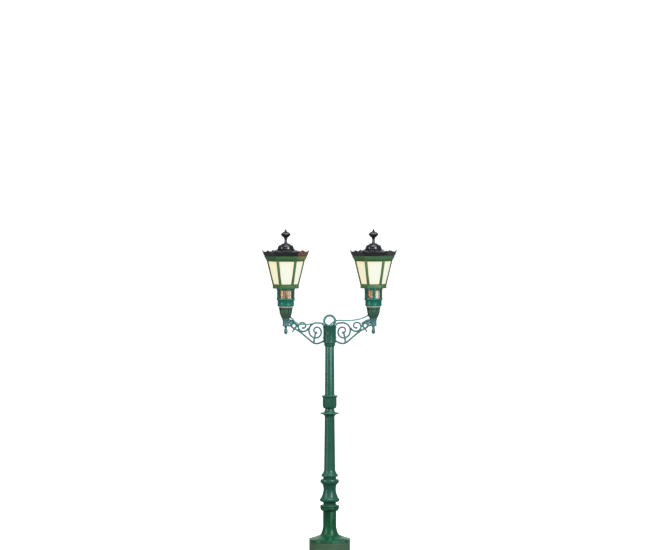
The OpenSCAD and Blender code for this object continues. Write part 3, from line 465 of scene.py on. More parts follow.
def bore(radius, height):
    """The way back down a hole through the middle of a casting."""
    return [(radius, height), (radius, 0)]


# %% Lathe and bench
def begin():
    """Object mode with nothing selected."""
    if bpy.context.object and bpy.context.object.mode != "OBJECT":
        bpy.ops.object.mode_set(mode="OBJECT")
    bpy.ops.object.select_all(action="DESELECT")


def lathe(name, outline, axis, steps=64):
    """Draws an outline, in millimetres from the foot of the axis, and spins it into a closed solid."""
    begin()
    points = [axis + Vector((radius * MM, 0, height * MM)) for radius, height in outline]
    bpy.ops.mesh.primitive_plane_add(size=MM, enter_editmode=True)
    bpy.ops.mesh.select_mode(type="VERT")
    bpy.ops.mesh.merge(type="CENTER")
    bpy.ops.transform.translate(value=points[0])
    for here, there in zip(points, points[1:]):
        bpy.ops.mesh.extrude_region_move(TRANSFORM_OT_translate={"value": there - here})
    bpy.ops.mesh.select_all(action="SELECT")
    bpy.ops.mesh.spin(steps=steps, angle=math.tau, center=axis, axis=(0, 0, 1))
    close_seams()
    return call(name)


def close_seams(gap=0.02 * MM):
    """In edit mode: joins points that coincide, drops loose lines and turns every face outwards."""
    bpy.ops.mesh.select_all(action="SELECT")
    bpy.ops.mesh.remove_doubles(threshold=gap)
    bpy.ops.mesh.select_all(action="SELECT")
    bpy.ops.mesh.delete_loose(use_verts=True, use_edges=True, use_faces=False)
    bpy.ops.mesh.select_all(action="SELECT")
    bpy.ops.mesh.normals_make_consistent(inside=False)
    bpy.ops.object.mode_set(mode="OBJECT")


def call(name):
    piece = bpy.context.object
    piece.name = piece.data.name = name
    return piece


def modify(piece, kind, **settings):
    """Adds a modifier and applies it."""
    begin()
    bpy.context.view_layer.objects.active = piece
    piece.select_set(True)
    modifier = piece.modifiers.new(kind.lower(), kind)
    for name, value in settings.items():
        setattr(modifier, name, value)
    bpy.ops.object.modifier_apply(modifier=modifier.name)


def ease(piece, width=1.2, segments=2, angle=35):
    """Rounds every sharp edge a little, as sand casting and paint do."""
    modify(piece, "BEVEL", width=width * MM, segments=segments, limit_method="ANGLE",
           angle_limit=math.radians(angle), use_clamp_overlap=True)


def pick(piece, rule):
    """Edit mode with only those points selected for which the rule holds."""
    begin()
    bpy.context.view_layer.objects.active = piece
    piece.select_set(True)
    bpy.ops.object.mode_set(mode="EDIT")
    bpy.ops.mesh.select_mode(type="VERT")
    bpy.ops.mesh.select_all(action="DESELECT")
    bpy.ops.object.mode_set(mode="OBJECT")
    for point in piece.data.vertices:
        point.select = bool(rule(point.co))
    bpy.ops.object.mode_set(mode="EDIT")


def settle(piece, body, slot, stands_for=(), smooth=32, finish=None):
    """Last steps for every piece: shading, finish, the body that carries it, and what it stands for."""
    begin()
    bpy.context.view_layer.objects.active = piece
    piece.select_set(True)
    bpy.ops.object.shade_smooth_by_angle(angle=math.radians(smooth))
    piece.data.materials.clear()
    piece.data.materials.append(finish or MATERIALS[slot])
    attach(piece, body)
    if stands_for:
        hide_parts(*stands_for)
    print(f"{piece.name}: {len(piece.data.polygons)} faces, rides on {body}")
    return piece


def foot(node):
    """The middle of a CAD node's underside."""
    low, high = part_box(node)
    return Vector(((low.x + high.x) / 2, (low.y + high.y) / 2, low.z))


def angle_round(point, axis):
    """Degrees round an upright axis, from +X."""
    return math.degrees(math.atan2(point.y - axis.y, point.x - axis.x))


def off_turn(point, axis, count, start=0.0):
    """Degrees from the nearest of a number of even turns round an axis."""
    step = 360 / count
    return abs((angle_round(point, axis) - start + step / 2) % step - step / 2)


def press(piece, axis, low, high, count, start, reach, depth):
    """Presses upright grooves, or raises ribs with a negative depth, evenly round a turned piece."""
    for degrees, share in reach:
        pick(piece, lambda p: low <= (p.z - axis.z) / MM <= high
             and abs(off_turn(p, axis, count, start) - degrees) < 0.7)
        scale = 1 - depth * share
        bpy.ops.transform.resize(value=(scale, scale, 1), center_override=axis)
    bpy.ops.object.mode_set(mode="OBJECT")


print("bench ready")

# %% [markdown]
# ## Mast castings
# Six sleeves are threaded on the core tube, each seated in the one below. They could be one
# long outline, but real castings meet at joints, so each is turned by itself, with its own
# bore. The sharp corners of the outlines are then rounded by a bevel, as sand leaves them.

# %% Skirt casting
TUBE_BORE = 38.5
DRUM_EDGE = 234
SKIRT_SCREWS = 4
SCREW_RING = 207
SCREW_RECESS = 18
RECESS_FLOOR = 22
RECESS_HEAD = 75


def drilled(piece, axis, at, radius, low, high, count):
    """Cuts even holes round an axis: a drill for each, taken away by a boolean."""
    for turn in range(count):
        way = math.radians(360 * turn / count)
        middle = axis + Vector((at * math.cos(way), at * math.sin(way), (low + high) / 2)) * MM
        begin()
        bpy.ops.mesh.primitive_cylinder_add(vertices=32, radius=radius * MM, depth=(high - low) * MM,
                                            location=middle)
        drill = bpy.context.object
        modify(piece, "BOOLEAN", operation="DIFFERENCE", object=drill, solver="EXACT")
        bpy.data.objects.remove(drill)


skirt_axis = foot("skirt_casting")
skirt_outline = ([(DRUM_EDGE, 0), (DRUM_EDGE, 32), (174, 52), (111, 75)] + flare((110, 76), (76, 174), 14)
                 + cove((76, 349), (104, 377)) + bead(110, 377, 19, 5) + bead(110, 396, 19, 5)
                 + [(TUBE_BORE, 415), (TUBE_BORE, 391), (62, 371), (62, 121), (95, 54), (150, 28), (150, 0),
                    (DRUM_EDGE, 0)])
skirt = lathe("skirt_casting_turned", skirt_outline, skirt_axis, 96)
drilled(skirt, skirt_axis, SCREW_RING, SCREW_RECESS, RECESS_FLOOR, RECESS_HEAD, SKIRT_SCREWS)
ease(skirt, 1.5)
settle(skirt, "post", "skirt_paint", ["skirt_casting"])

# %% Washers in the skirt's recesses
WASHER = [(8, 0), (15, 0), (15, 2.4), (8, 2.4), (8, 0)]
for turn in range(SKIRT_SCREWS):
    way = math.radians(360 / SKIRT_SCREWS * turn)
    seat = skirt_axis + Vector((SCREW_RING * math.cos(way), SCREW_RING * math.sin(way), RECESS_FLOOR)) * MM
    washer = lathe(f"skirt_washer_{turn + 1}", WASHER, seat, 40)
    ease(washer, 0.4)
    settle(washer, "post", "galvanised_steel")

# %% [markdown]
# ### Baluster and shafts
# Between two narrow grooves stands the baluster, with a waist. The long lower shaft opens
# into a bell at its foot and ends in a thin disc; the upper shaft is nearly straight. Faint
# flutes are pressed into the neck under the disc.

# %% Baluster and shafts
baluster_outline = ([(103, 0), (103, 2), (73, 6), (73, 38)] + cove((83, 38), (113, 60))
                    + flare((113, 70), (73, 164), 14) + [(71, 176), (71, 190)]
                    + swell((72, 192), (100, 252), 14) + bead(106, 255, 40, 5, 14)
                    + [(90, 298)] + bore(TUBE_BORE, 298) + [(103, 0)])
baluster = lathe("baluster_casting_turned", baluster_outline, foot("baluster_casting"), 80)
ease(baluster, 1.5)
settle(baluster, "post", "mast_paint", ["baluster_casting"])

lower_axis = foot("lower_shaft")
lower_outline = ([(74, 0), (74, 26), (93, 33)] + bead(95, 34, 20, 3) + flare((91, 55), (64, 107), 14)
                 + [(56, 706)] + swell((56, 708), (68, 732), 8)
                 + [(72, 739), (106, 748), (106, 757), (100, 761)] + bore(TUBE_BORE, 761) + [(74, 0)])
lower = lathe("lower_shaft_turned", lower_outline, lower_axis, 96)
press(lower, lower_axis, 707, 733, 24, 0, ((0, 1.0),), 0.05)
ease(lower, 1.5)
settle(lower, "post", "mast_paint", ["lower_shaft"])

upper_outline = [(58.5, 0), (57.5, 5), (54.5, 9), (51, 550)] + bore(TUBE_BORE, 550) + [(58.5, 0)]
upper = lathe("upper_shaft_turned", upper_outline, foot("upper_shaft"), 72)
ease(upper, 1.2)
settle(upper, "post", "mast_paint", ["upper_shaft"])

# %% [markdown]
# ### Tulip collar
# The collar is a cup of eight petals under a thin flared lip. It is turned first, like the
# rest, and then the columns of points between the petals are drawn in towards the axis, and
# the lip over them too, so the petals stand proud and the lip gets its waves.

# %% Tulip collar
PETALS = 8
BETWEEN = 180 / PETALS
tulip_axis = foot("tulip_collar")
tulip_outline = ([(71, 0)] + flare((70, 3), (50, 41)) + [(50, 43)] + cove((56, 46), (79, 86), 14)
                 + bowed((79, 86), (78, 170), 1, 10)
                 + [(88, 182), (91, 187), (90, 194), (66.5, 199), (58.5, 200)]
                 + bore(TUBE_BORE, 200) + [(71, 0)])
tulip = lathe("tulip_collar_petalled", tulip_outline, tulip_axis, 96)
press(tulip, tulip_axis, 52, 171, PETALS, BETWEEN, ((0, 1.0), (3.75, 0.62), (7.5, 0.22)), 0.10)
press(tulip, tulip_axis, 176, 196, PETALS, BETWEEN, ((0, 1.0), (3.75, 0.8), (7.5, 0.4)), 0.045)
ease(tulip, 1.0)
settle(tulip, "post", "mast_paint", ["tulip_collar"])

# %% [markdown]
# ### Hub
# The hub is the thick fluted piece that the brackets are bolted to. Two flats are planed on
# it with a bisect, which also closes the cut. A small plain boss sits on its front, and the
# eye ring stands in its dished top.

# %% Hub
FLAT = 62
hub_axis = foot("hub")
hub_axis.y = 0          # the hub's box reaches further to the front than to the back
hub_outline = ([(51, 0)] + cove((53, 6), (64, 40))
               + [(67, 46), (69, 50), (67, 55), (67, 232), (69, 238), (66, 243), (61, 250), (53, 250),
                  (45, 243), (0, 240), (0, 211), (50, 211), (50, 150), (TUBE_BORE, 150), (TUBE_BORE, 0),
                  (51, 0)])
hub = lathe("hub_fluted", hub_outline, hub_axis, 96)
press(hub, hub_axis, 54, 233, 16, 0, ((0, 1.0), (3.75, 0.55)), 0.07)
press(hub, hub_axis, 5, 44, 8, BETWEEN, ((0, 1.0), (3.75, 0.6), (7.5, 0.2)), 0.09)
for side in SIDES.values():
    pick(hub, lambda point: True)
    bpy.ops.mesh.bisect(plane_co=hub_axis + Vector((side * FLAT * MM, 0, 0)), plane_no=(side, 0, 0),
                        use_fill=True, clear_outer=True)
    close_seams()
ease(hub, 1.0, angle=40)
pick(hub, lambda point: True)
close_seams(0.08 * MM)
settle(hub, "post", "mast_paint", ["hub"])


# %% Boss on the hub's front
BOSS_TALL = 142
BOSS_ASIDE = -22
boss_outline = [(0, -12), (15, -12), (15, 3)] + swell((13, 4), (8, 9), 6) + [(0, 9)]
boss = lathe("hub_front_boss", boss_outline, Vector((0, 0, 0)), 40)
pick(boss, lambda point: True)
bpy.ops.transform.rotate(value=math.radians(-90), orient_axis="X", center_override=(0, 0, 0))
bpy.ops.transform.translate(value=hub_axis + Vector((BOSS_ASIDE, -FLAT - 1, BOSS_TALL)) * MM)
bpy.ops.object.mode_set(mode="OBJECT")
settle(boss, "post", "mast_paint")

# %% [markdown]
# ## Brackets
# A bracket is one casting of bars that curl and touch. Drawn one by one, the bars would only
# pass through each other. So every bar is a curve with a round section, flattened into an
# oval, and the whole bunch is fused with a voxel remesh and smoothed, which leaves the soft
# fillets that molten iron leaves where two bars meet. Knots cover the places where they touch.


# %% Paths for bars and cables
def smooth_way(points, steps=6):
    """A smooth line through every point."""
    ways = [Vector(p) for p in points]
    line = []
    for i in range(len(ways) - 1):
        a, b = ways[max(i - 1, 0)], ways[i]
        c, d = ways[i + 1], ways[min(i + 2, len(ways) - 1)]
        for j in range(steps):
            t = j / steps
            line.append(0.5 * ((-t**3 + 2 * t**2 - t) * a + (3 * t**3 - 5 * t**2 + 2) * b
                               + (-3 * t**3 + 4 * t**2 + t) * c + (t**3 - t**2) * d))
    return line + [ways[-1]]


def spiral(centre, keys, steps=8):
    """Curl about a centre through pairs of angle and radius."""
    line = []
    for (turn, reach), (next_turn, next_reach) in zip(keys, keys[1:]):
        for j in range(steps):
            t = math.radians(turn + (next_turn - turn) * j / steps)
            r = reach + (next_reach - reach) * j / steps
            line.append(Vector((centre[0] + r * math.cos(t), centre[1] + r * math.sin(t))))
    t, r = math.radians(keys[-1][0]), keys[-1][1]
    return line + [Vector((centre[0] + r * math.cos(t), centre[1] + r * math.sin(t)))]


def round_bars(name, ways, radius, tapers=None):
    """One mesh of round bars. Each way is a list of places in metres."""
    begin()
    bpy.ops.curve.primitive_bezier_curve_add()
    bars = bpy.context.object
    curve = bars.data
    curve.splines.clear()
    curve.dimensions = "3D"
    curve.bevel_depth = radius * MM
    curve.bevel_resolution = 4
    curve.use_fill_caps = True
    for index, way in enumerate(ways):
        spline = curve.splines.new("POLY")
        spline.points.add(len(way) - 1)
        end = tapers[index] if tapers else 1.0
        for number, (point, place) in enumerate(zip(spline.points, way)):
            point.co = (*place, 1)
            point.radius = 1 + (end - 1) * number / (len(way) - 1)
    bpy.ops.object.convert(target="MESH")
    bpy.ops.object.mode_set(mode="EDIT")
    close_seams()
    return call(name)


# %% Bracket
BAR_WIDE = 21
BAR_DEEP = 20
hub_foot = foot("hub").z / MM
ARM = LANTERN_X / MM


def loop(centre, radius, steps=40):
    return [Vector((centre[0] + radius * math.cos(math.tau * i / steps),
                    centre[1] + radius * math.sin(math.tau * i / steps))) for i in range(steps + 1)]


VOLUTE = ([Vector(p) for p in ((12, 244), (17, 259), (36, 270))]
          + spiral((90, 182), ((90, 92), (0, 84), (-90, 81), (-180, 54), (-270, 41), (-360, 27), (-450, 20))))
CURL = spiral((245, 236), ((198, 68), (270, 60), (360, 50), (450, 41), (540, 34), (630, 20)))
LOWER_BAR = smooth_way([(336, 205), (298, 186), (262, 160), (205, 113), (150, 66), (118, 44),
                        (81, 37), (38, 50), (6, 69)])
UPPER_LINK = smooth_way([(303, 262), (330, 280), (362, 298), (404, 308)])
BARS = [VOLUTE, CURL, LOWER_BAR, UPPER_LINK, smooth_way([(338, 209), (350, 192), (361, 172)]),
        smooth_way([(100, 156), (110, 100)]), smooth_way([(114, 104), (116, 44)]),
        smooth_way([(372, 244), (404, 240)]), loop((345, 241), 27), loop((378, 276), 14)]
BAR_TAPERS = [0.85, 0.85, 1.0, 1.0, 0.7, 0.9, 0.9, 1.0, 1.0, 0.8]
KNOTS = [((90, 162), 14), ((245, 216), 13), ((178, 210), 12.5), ((303, 238), 12), ((338, 208), 12.5),
         ((114, 98), 12), ((116, 46), 11), ((361, 172), 8.5)]


PLATE_SIZE = (10, 34, 204)
PLATE_MIDDLE = (5.2, 148)
FUSE_GRAIN = 2.1


def bracket(name, side):
    """One scrolled bracket: bars, knots, plate and boss, fused into a single casting."""
    def place(point):
        return Vector((side * (FLAT + point[0]), 0, hub_foot + point[1])) * MM

    work = round_bars(name, [[place(p) for p in way] for way in BARS], BAR_WIDE / 2, BAR_TAPERS)
    pick(work, lambda point: True)
    bpy.ops.transform.resize(value=(1, BAR_DEEP / BAR_WIDE, 1), center_override=(0, 0, 0))
    bpy.ops.object.mode_set(mode="OBJECT")
    parts = [work]
    for centre, radius in KNOTS:
        bpy.ops.mesh.primitive_uv_sphere_add(segments=24, ring_count=14, radius=radius * MM,
                                             location=place(centre))
        bpy.ops.object.transform_apply(location=True)
        parts.append(bpy.context.object)
    bpy.ops.mesh.primitive_cube_add(size=1, location=place(PLATE_MIDDLE), scale=Vector(PLATE_SIZE) * MM)
    bpy.ops.object.transform_apply(location=True, rotation=False, scale=True)
    parts.append(bpy.context.object)
    ease(parts[-1], 3, 3)
    boss_foot = Vector((side * ARM, 0, hub_foot + 235)) * MM
    parts.append(lathe("bracket_boss", [(0, 0), (31, 0), (36, 3), (38, 9)] + bowed((38, 10), (38, 70), -3)
                       + bead(42, 72, 11, 5) + [(41, 84), (0, 84)], boss_foot, 64))
    begin()
    for part in parts:
        part.select_set(True)
    bpy.context.view_layer.objects.active = work
    bpy.ops.object.join()
    modify(work, "REMESH", mode="VOXEL", voxel_size=FUSE_GRAIN * MM)
    modify(work, "SMOOTH", factor=0.5, iterations=3)
    return call(name)


for side, way in SIDES.items():
    piece = bracket(f"arm_bracket_{side}_cast", way)
    settle(piece, "post", "bracket_paint", [f"arm_bracket_{side}"], smooth=60)

# %% [markdown]
# ### Feed cables
# A cable leaves the hub for each lamp: one slants through the eye ring and sweeps up to the
# right lantern, one lies on the left bracket's scrolls. Both run through a rubber gland low on
# the cup and end in the lamp holder, so their routes are a list of places they pass.

# %% Feed cables
CABLE_R = 7.5
CUP_TALL = 132
CUP_FOOT = 42
CUP_RIM = 78
CUP_BOW = 6
CUP_UP = 319            # from the hub's foot to the cup's


def cup_radius(height):
    share = height / CUP_TALL
    return CUP_FOOT + (CUP_RIM - CUP_FOOT) * share + CUP_BOW * math.sin(math.pi * share)


# for each side: the free run, the height where the cable enters the cup, and its slope there
ROUTES = {
    "right": ([(6, 24, 210.5), (6, 24, 228), (6, 24, 246), (20, 24, 262), (44, 24, 280), (68, 23, 293),
               (98, 16, 300), (135, 5, 301), (180, 0, 299), (235, 0, 300), (290, 0, 305), (345, 0, 317),
               (390, 0, 332)], 40, 30),
    "left": ([(26, -24, 210.5), (26, -24, 227), (26, -24, 244), (38, -24, 259), (76, -21, 268),
              (145, -19.5, 273), (200, -19.5, 264), (250, -19.5, 258), (310, -19.5, 257),
              (360, -19.5, 259), (394, -19.5, 272), (408, -19.5, 300), (419, -13, 319)], 22, 42),
}


def cable_way(side, way):
    """The whole route of one cable, in metres: its free run, through the gland, and up the cup."""
    run, entry, slope = ROUTES[side]
    tilt = math.radians(slope)
    out = Vector((ARM - cup_radius(entry), 0, CUP_UP + entry))
    gland = [out + d * Vector((math.cos(tilt), 0, math.sin(tilt))) for d in (-24, -12, 0, 12, 24)]
    lead = [(ARM - 12, 0, CUP_UP + entry + 38), (ARM - 4, 0, CUP_UP + 96), (ARM, 0, 451), (ARM, 0, 485),
            (ARM, 0, 514.5)]
    return [Vector((way * p[0], p[1], p[2] + hub_foot)) * MM for p in smooth_way([*run, *gland, *lead], 4)]


for side, way in SIDES.items():
    line = cable_way(side, way)
    cable = round_bars(f"feed_cable_{side}_round", [line], CABLE_R)
    length = sum((b - a).length for a, b in zip(line, line[1:]))
    settle(cable, "post", "teal_cable", [f"feed_cable_{side}"], smooth=60)
    print(f"feed cable {side}: {length:.3f} m")

# %% [markdown]
# ## Lantern cups, necks and holders
# Under each lantern sits a cup with a relief of upright leaves, a rubber gasket, a sleeve and
# a cage with six windows, through which the copper and porcelain of the lamp holder show.
# The cages stand with a post to the front and a window on either side of it.

# %% Leaf paint
LEAVES = 8


def leaf_paint():
    """The mast's green with brown blots, raised edges lighter by paint wear and a painted highlight, and
    painted shade in the hollows of the leaves.
    """
    paint = Finish("leaf_paint_mottled", 0.42, Specular_IOR_Level=0.3)
    clouds = paint.noise(34, 4)
    blots = paint.noise(120, 3)
    green = paint.mix(clouds, shade(30, 70, 54), shade(66, 112, 92))
    rusty = paint.mix((blots * 0.7 + clouds * 0.6).between(0.62, 0.84), green, shade(84, 78, 58))
    sharp = paint.node("ShaderNodeNewGeometry", out="Pointiness")
    # paint wear and painted highlight: the raised edges of the leaves are lightened
    raised = paint.mix(sharp.between(0.51, 0.57) * 0.6, rusty, shade(116, 148, 130))
    # painted shade: the hollows between the leaves are darkened towards a near black
    hollow = 1.0 - sharp.between(0.43, 0.49)
    paint.wear("Base Color", paint.mix(hollow * 0.75, raised, shade(30, 34, 24)))
    paint.wear("Roughness", 0.36 + blots * 0.2)
    paint.bump(blots * 1.5 + paint.noise(560, 1) * 0.3, 0.0008)
    return paint.material


LEAF_PAINT = leaf_paint()

# %% [markdown]
# ### Cups and pendants
# Grooves between the leaves are pressed into each cup, and their midribs are raised. A hole
# is drilled for the set screw, with a collar round it. A drop with a waist hangs under each
# bracket's boss, on a stem through it.

# %% Cups and pendants
SOCKET_R = 58
STEM_R = 8.2
SET_SCREW_TURN = 208
SCREW_HOLE_R = 9.4
COLLAR = [(9.6, -9), (15, -9), (15, 2), (13, 4), (11, 4), (9.6, 1), (9.6, -9)]
cup_outline = ([(STEM_R, 0), (CUP_FOOT, 0)] + bowed((CUP_FOOT, 2), (CUP_RIM - 1, 116), CUP_BOW, 22)
               + bead(CUP_RIM + 2, 117, 15, 4, 8)
               + [(SOCKET_R, CUP_TALL), (SOCKET_R, 80), (52, 80), (22, 20), (STEM_R, 12), (STEM_R, 0)])
pendant_outline = (cove((0, 0), (22, 36.8), 14) + bowed((21.6, 38), (13, 69), 1.5, 8)
                   + [(12, 75), (15, 77), (17, 80), (17, 85), (16, 92), (8, 92), (8, 186), (0, 186)])


def by_screw(reach, height):
    """A place beside a cup's axis, on the side of its set screw, in metres."""
    turn = math.radians(SET_SCREW_TURN)
    return Vector((reach * math.cos(turn), reach * math.sin(turn), height)) * MM


for side in SIDES:
    axis = foot(f"lantern_cup_{side}")
    cup = lathe(f"lantern_cup_{side}_leafed", cup_outline, axis, 96)
    press(cup, axis, 12, 112, LEAVES, BETWEEN, ((0, 1.0), (3.75, 0.6), (7.5, 0.18)), 0.10)
    press(cup, axis, 12, 96, LEAVES, 0, ((0, 1.0), (3.75, 0.3)), -0.03)
    press(cup, axis, 84, 113, LEAVES, 0, ((0, 1.0), (3.75, 0.7), (7.5, 0.3)), 0.07)
    begin()
    bpy.ops.mesh.primitive_cylinder_add(
        vertices=32, radius=SCREW_HOLE_R * MM, depth=60 * MM,
        rotation=(0, math.pi / 2, math.radians(SET_SCREW_TURN)), location=axis + by_screw(88, 110))
    drill = bpy.context.object
    modify(cup, "BOOLEAN", operation="DIFFERENCE", object=drill, solver="EXACT")
    bpy.data.objects.remove(drill)
    settle(cup, "post", "mast_paint", [f"lantern_cup_{side}"], smooth=40, finish=LEAF_PAINT)
    collar = lathe(f"set_screw_collar_{side}", COLLAR, Vector((0, 0, 0)), 32)
    collar.rotation_euler = (0, math.pi / 2, math.radians(SET_SCREW_TURN))
    collar.location = axis + by_screw(77, 112)
    bpy.ops.object.transform_apply(location=True, rotation=True)
    settle(collar, "post", "black_steel")

    drop = lathe(f"pendant_{side}_turned", pendant_outline, foot(f"pendant_{side}"), 48)
    ease(drop, 0.8)
    settle(drop, "post", "bracket_paint", [f"pendant_{side}"])

# %% [markdown]
# ### Gaskets and sleeves
# The gasket is a pressed rubber ring with a rounded edge. The sleeve above it is hollow, with
# a floor across it half-way up, and its long spigot goes down into the cup's socket.

# %% Gaskets and sleeves
CAGE_R = 105
SPIGOT = 64
gasket_outline = ([(SOCKET_R, 0), (82, 0)] + bead(86.5, 0.5, 13, 3.5, 8)
                  + [(82, 14), (SOCKET_R, 14), (SOCKET_R, 0)])
sleeve_outline = ([(50, -SPIGOT), (57.8, -SPIGOT), (57.8, 0), (92, 0), (94, 3), (94, 9), (96, 11),
                   (96, 15), (94, 17), (94, 62)] + cove((95, 64), (104, 74), 6)
                  + [(CAGE_R, 75), (CAGE_R, 81), (86, 81), (86, 50), (26, 50), (26, 42), (86, 42),
                     (86, 12), (50, 12), (50, -SPIGOT)])
for side in SIDES:
    seal = lathe(f"gasket_{side}_pressed", gasket_outline, foot(f"gasket_{side}"), 72)
    ease(seal, 0.8)
    settle(seal, "post", "cream_rubber", [f"gasket_{side}"])

    sleeve_foot = foot(f"neck_sleeve_{side}") + Vector((0, 0, SPIGOT * MM))
    sleeve = lathe(f"neck_sleeve_{side}_turned", sleeve_outline, sleeve_foot, 80)
    ease(sleeve, 0.9)
    settle(sleeve, "post", "neck_paint", [f"neck_sleeve_{side}"])

# %% [markdown]
# ### Cages
# A cage starts as an open tube. It is cut at the windows' foot and head, the faces in the
# windows are deleted, and what is left is given its wall.

# %% Cages
WALL = 8
CAGE_TALL = 120
WINDOWS = 6
WINDOW_FOOT = 8
WINDOW_HEAD = 102
WINDOW_HALF = 19.5
for side in SIDES:
    axis = foot(f"neck_cage_{side}")
    begin()
    bpy.ops.mesh.primitive_cylinder_add(vertices=72, radius=(CAGE_R - WALL / 2) * MM,
                                        depth=CAGE_TALL * MM, end_fill_type="NOTHING",
                                        location=axis + Vector((0, 0, CAGE_TALL / 2)) * MM)
    bpy.ops.object.transform_apply(location=True)
    cage = call(f"neck_cage_{side}_windowed")
    for level in (WINDOW_FOOT, WINDOW_HEAD):
        pick(cage, lambda point: True)
        bpy.ops.mesh.bisect(plane_co=axis + Vector((0, 0, level * MM)), plane_no=(0, 0, 1))
    bpy.ops.mesh.select_mode(type="FACE")
    bpy.ops.mesh.select_all(action="DESELECT")
    bpy.ops.object.mode_set(mode="OBJECT")
    for wall in cage.data.polygons:
        height = (wall.center.z - axis.z) / MM
        wall.select = (WINDOW_FOOT < height < WINDOW_HEAD
                       and off_turn(wall.center, axis, WINDOWS) < WINDOW_HALF)
    bpy.ops.object.mode_set(mode="EDIT")
    bpy.ops.mesh.delete(type="FACE")
    close_seams()
    modify(cage, "SOLIDIFY", thickness=WALL * MM, offset=0)
    ease(cage, 0.9)
    settle(cage, "post", "neck_paint", [f"neck_cage_{side}"], smooth=40)

# %% [markdown]
# ### Lamp holders
# The porcelain is turned with its shield. Copper strips are clipped round the shield, where
# the cage's windows let them be seen, and one bonding strip is clipped on the left cage. A
# strip is what is left of an upright tube when all but a few degrees of it are deleted.

# %% Lamp holders
SHIELD_R = 84
STRIP_WIDE = 17
STRIP_FOOT = 40
STRIP_HEAD = 130
STRIP_THICK = 1.6
STRIP_WAYS = {"left": (-137, -116, -66, -43, 0, 60, 120, 180),
              "right": (-134, -118, -48, -30, 0, 60, 120, 180)}
holder_outline = ([(0, 0), (SHIELD_R, 0)] + bead(SHIELD_R, 30, 8, 1.5, 6) + bead(SHIELD_R, 132, 10, 1.5, 6)
                  + [(83, 145), (80, 145), (80, 5), (48, 5)] + cove((47, 6), (40, 14), 6)
                  + [(40, 139), (43, 141), (43, 145), (35, 145), (35, 6), (0, 6)])


def strip_of(name, axis, radius, degrees, wide, low, high):
    """A thin strip of copper bent to an upright cylinder."""
    begin()
    bpy.ops.mesh.primitive_cylinder_add(vertices=120, radius=radius * MM, depth=(high - low) * MM,
                                        end_fill_type="NOTHING",
                                        location=axis + Vector((0, 0, (low + high) / 2)) * MM)
    bpy.ops.object.transform_apply(location=True)
    sheet = call(name)
    half = math.degrees(wide / 2 / radius)
    pick(sheet, lambda p: abs((angle_round(p, axis) - degrees + 180) % 360 - 180) > half)
    bpy.ops.mesh.delete(type="VERT")
    bpy.ops.object.mode_set(mode="OBJECT")
    modify(sheet, "SOLIDIFY", thickness=STRIP_THICK * MM, offset=1)
    ease(sheet, 0.5, angle=50)
    settle(sheet, "post", "copper")


for side in SIDES:
    axis = foot(f"lamp_holder_{side}")
    holder = lathe(f"lamp_holder_{side}_porcelain", holder_outline, axis, 72)
    ease(holder, 0.8)
    settle(holder, "post", "white_plastic", [f"lamp_holder_{side}"])
    for number, degrees in enumerate(STRIP_WAYS[side], 1):
        strip_of(f"contact_strip_{side}_{number}", axis, SHIELD_R + 0.3, degrees, STRIP_WIDE,
                 STRIP_FOOT, STRIP_HEAD)
strip_of("bonding_strip_left", foot("neck_cage_left"), CAGE_R + 0.4, degrees=-90, wide=30, low=10, high=101)

# %% [markdown]
# ## Lanterns
# The lantern's frame is folded and cast plate with flat faces, which the engineering model has
# already. It is copied point for point, its loose triangles are merged and cleared to flat
# faces, and then its sharp edges are rounded, because bright edges are what tell painted
# plate from cut paper.

# %% Rails, bars and bands
def dressed(node, name, width):
    """A copy of a CAD node with merged faces and rounded edges."""
    begin()
    source = frame["nodes"][node]
    bpy.context.view_layer.objects.active = source
    source.select_set(True)
    bpy.ops.object.duplicate()
    copy = bpy.context.object
    bpy.ops.object.parent_clear(type="CLEAR_KEEP_TRANSFORM")
    bpy.ops.object.transform_apply(location=True, rotation=True, scale=True)
    if copy.data.has_custom_normals:
        bpy.ops.mesh.customdata_custom_splitnormals_clear()
    pick(copy, lambda point: True)
    bpy.ops.mesh.remove_doubles(threshold=0.02 * MM)
    bpy.ops.mesh.dissolve_limited(angle_limit=math.radians(1))
    bpy.ops.mesh.normals_make_consistent(inside=False)
    bpy.ops.object.mode_set(mode="OBJECT")
    ease(copy, width, angle=30)
    return call(name)


for side in SIDES:
    for part, width in (("bottom_rail", 2.2), ("corner_bars", 1.6), ("top_band", 2.6)):
        node = f"{part}_{side}"
        settle(dressed(node, f"{node}_edged", width), "post", "lantern_paint", [node], smooth=35)
    roof = dressed(f"roof_{side}", f"roof_{side}_edged", 2.4)
    settle(roof, f"{side}_roof", "black_enamel", [f"roof_{side}"], smooth=35)

# %% [markdown]
# ### Opal panes
# Each pane is a tall tapering sheet. It gets a map of its own, 0 to 1 across and up, so that
# the glow can fade from the middle of the glass to its edges whatever the pane's taper.

# %% Panes
SIDES_OF_LANTERN = 6
FACE_TURN = 360 / SIDES_OF_LANTERN
PANE_LOW, PANE_HIGH = 3147, 3431
PANE_WIDE_LOW, PANE_WIDE_HIGH = 130, 199
CORNER_LOW, CORNER_HIGH = 150, 219
PANE_INSET = 8
PANE_THICK = 4
PANE_BULGE = 2.0
# the two panes that face left take the warmer opal, a painted warm light on that side
WARM_LIT_PANES = (2, 3)
APOTHEM = math.cos(math.pi / SIDES_OF_LANTERN)


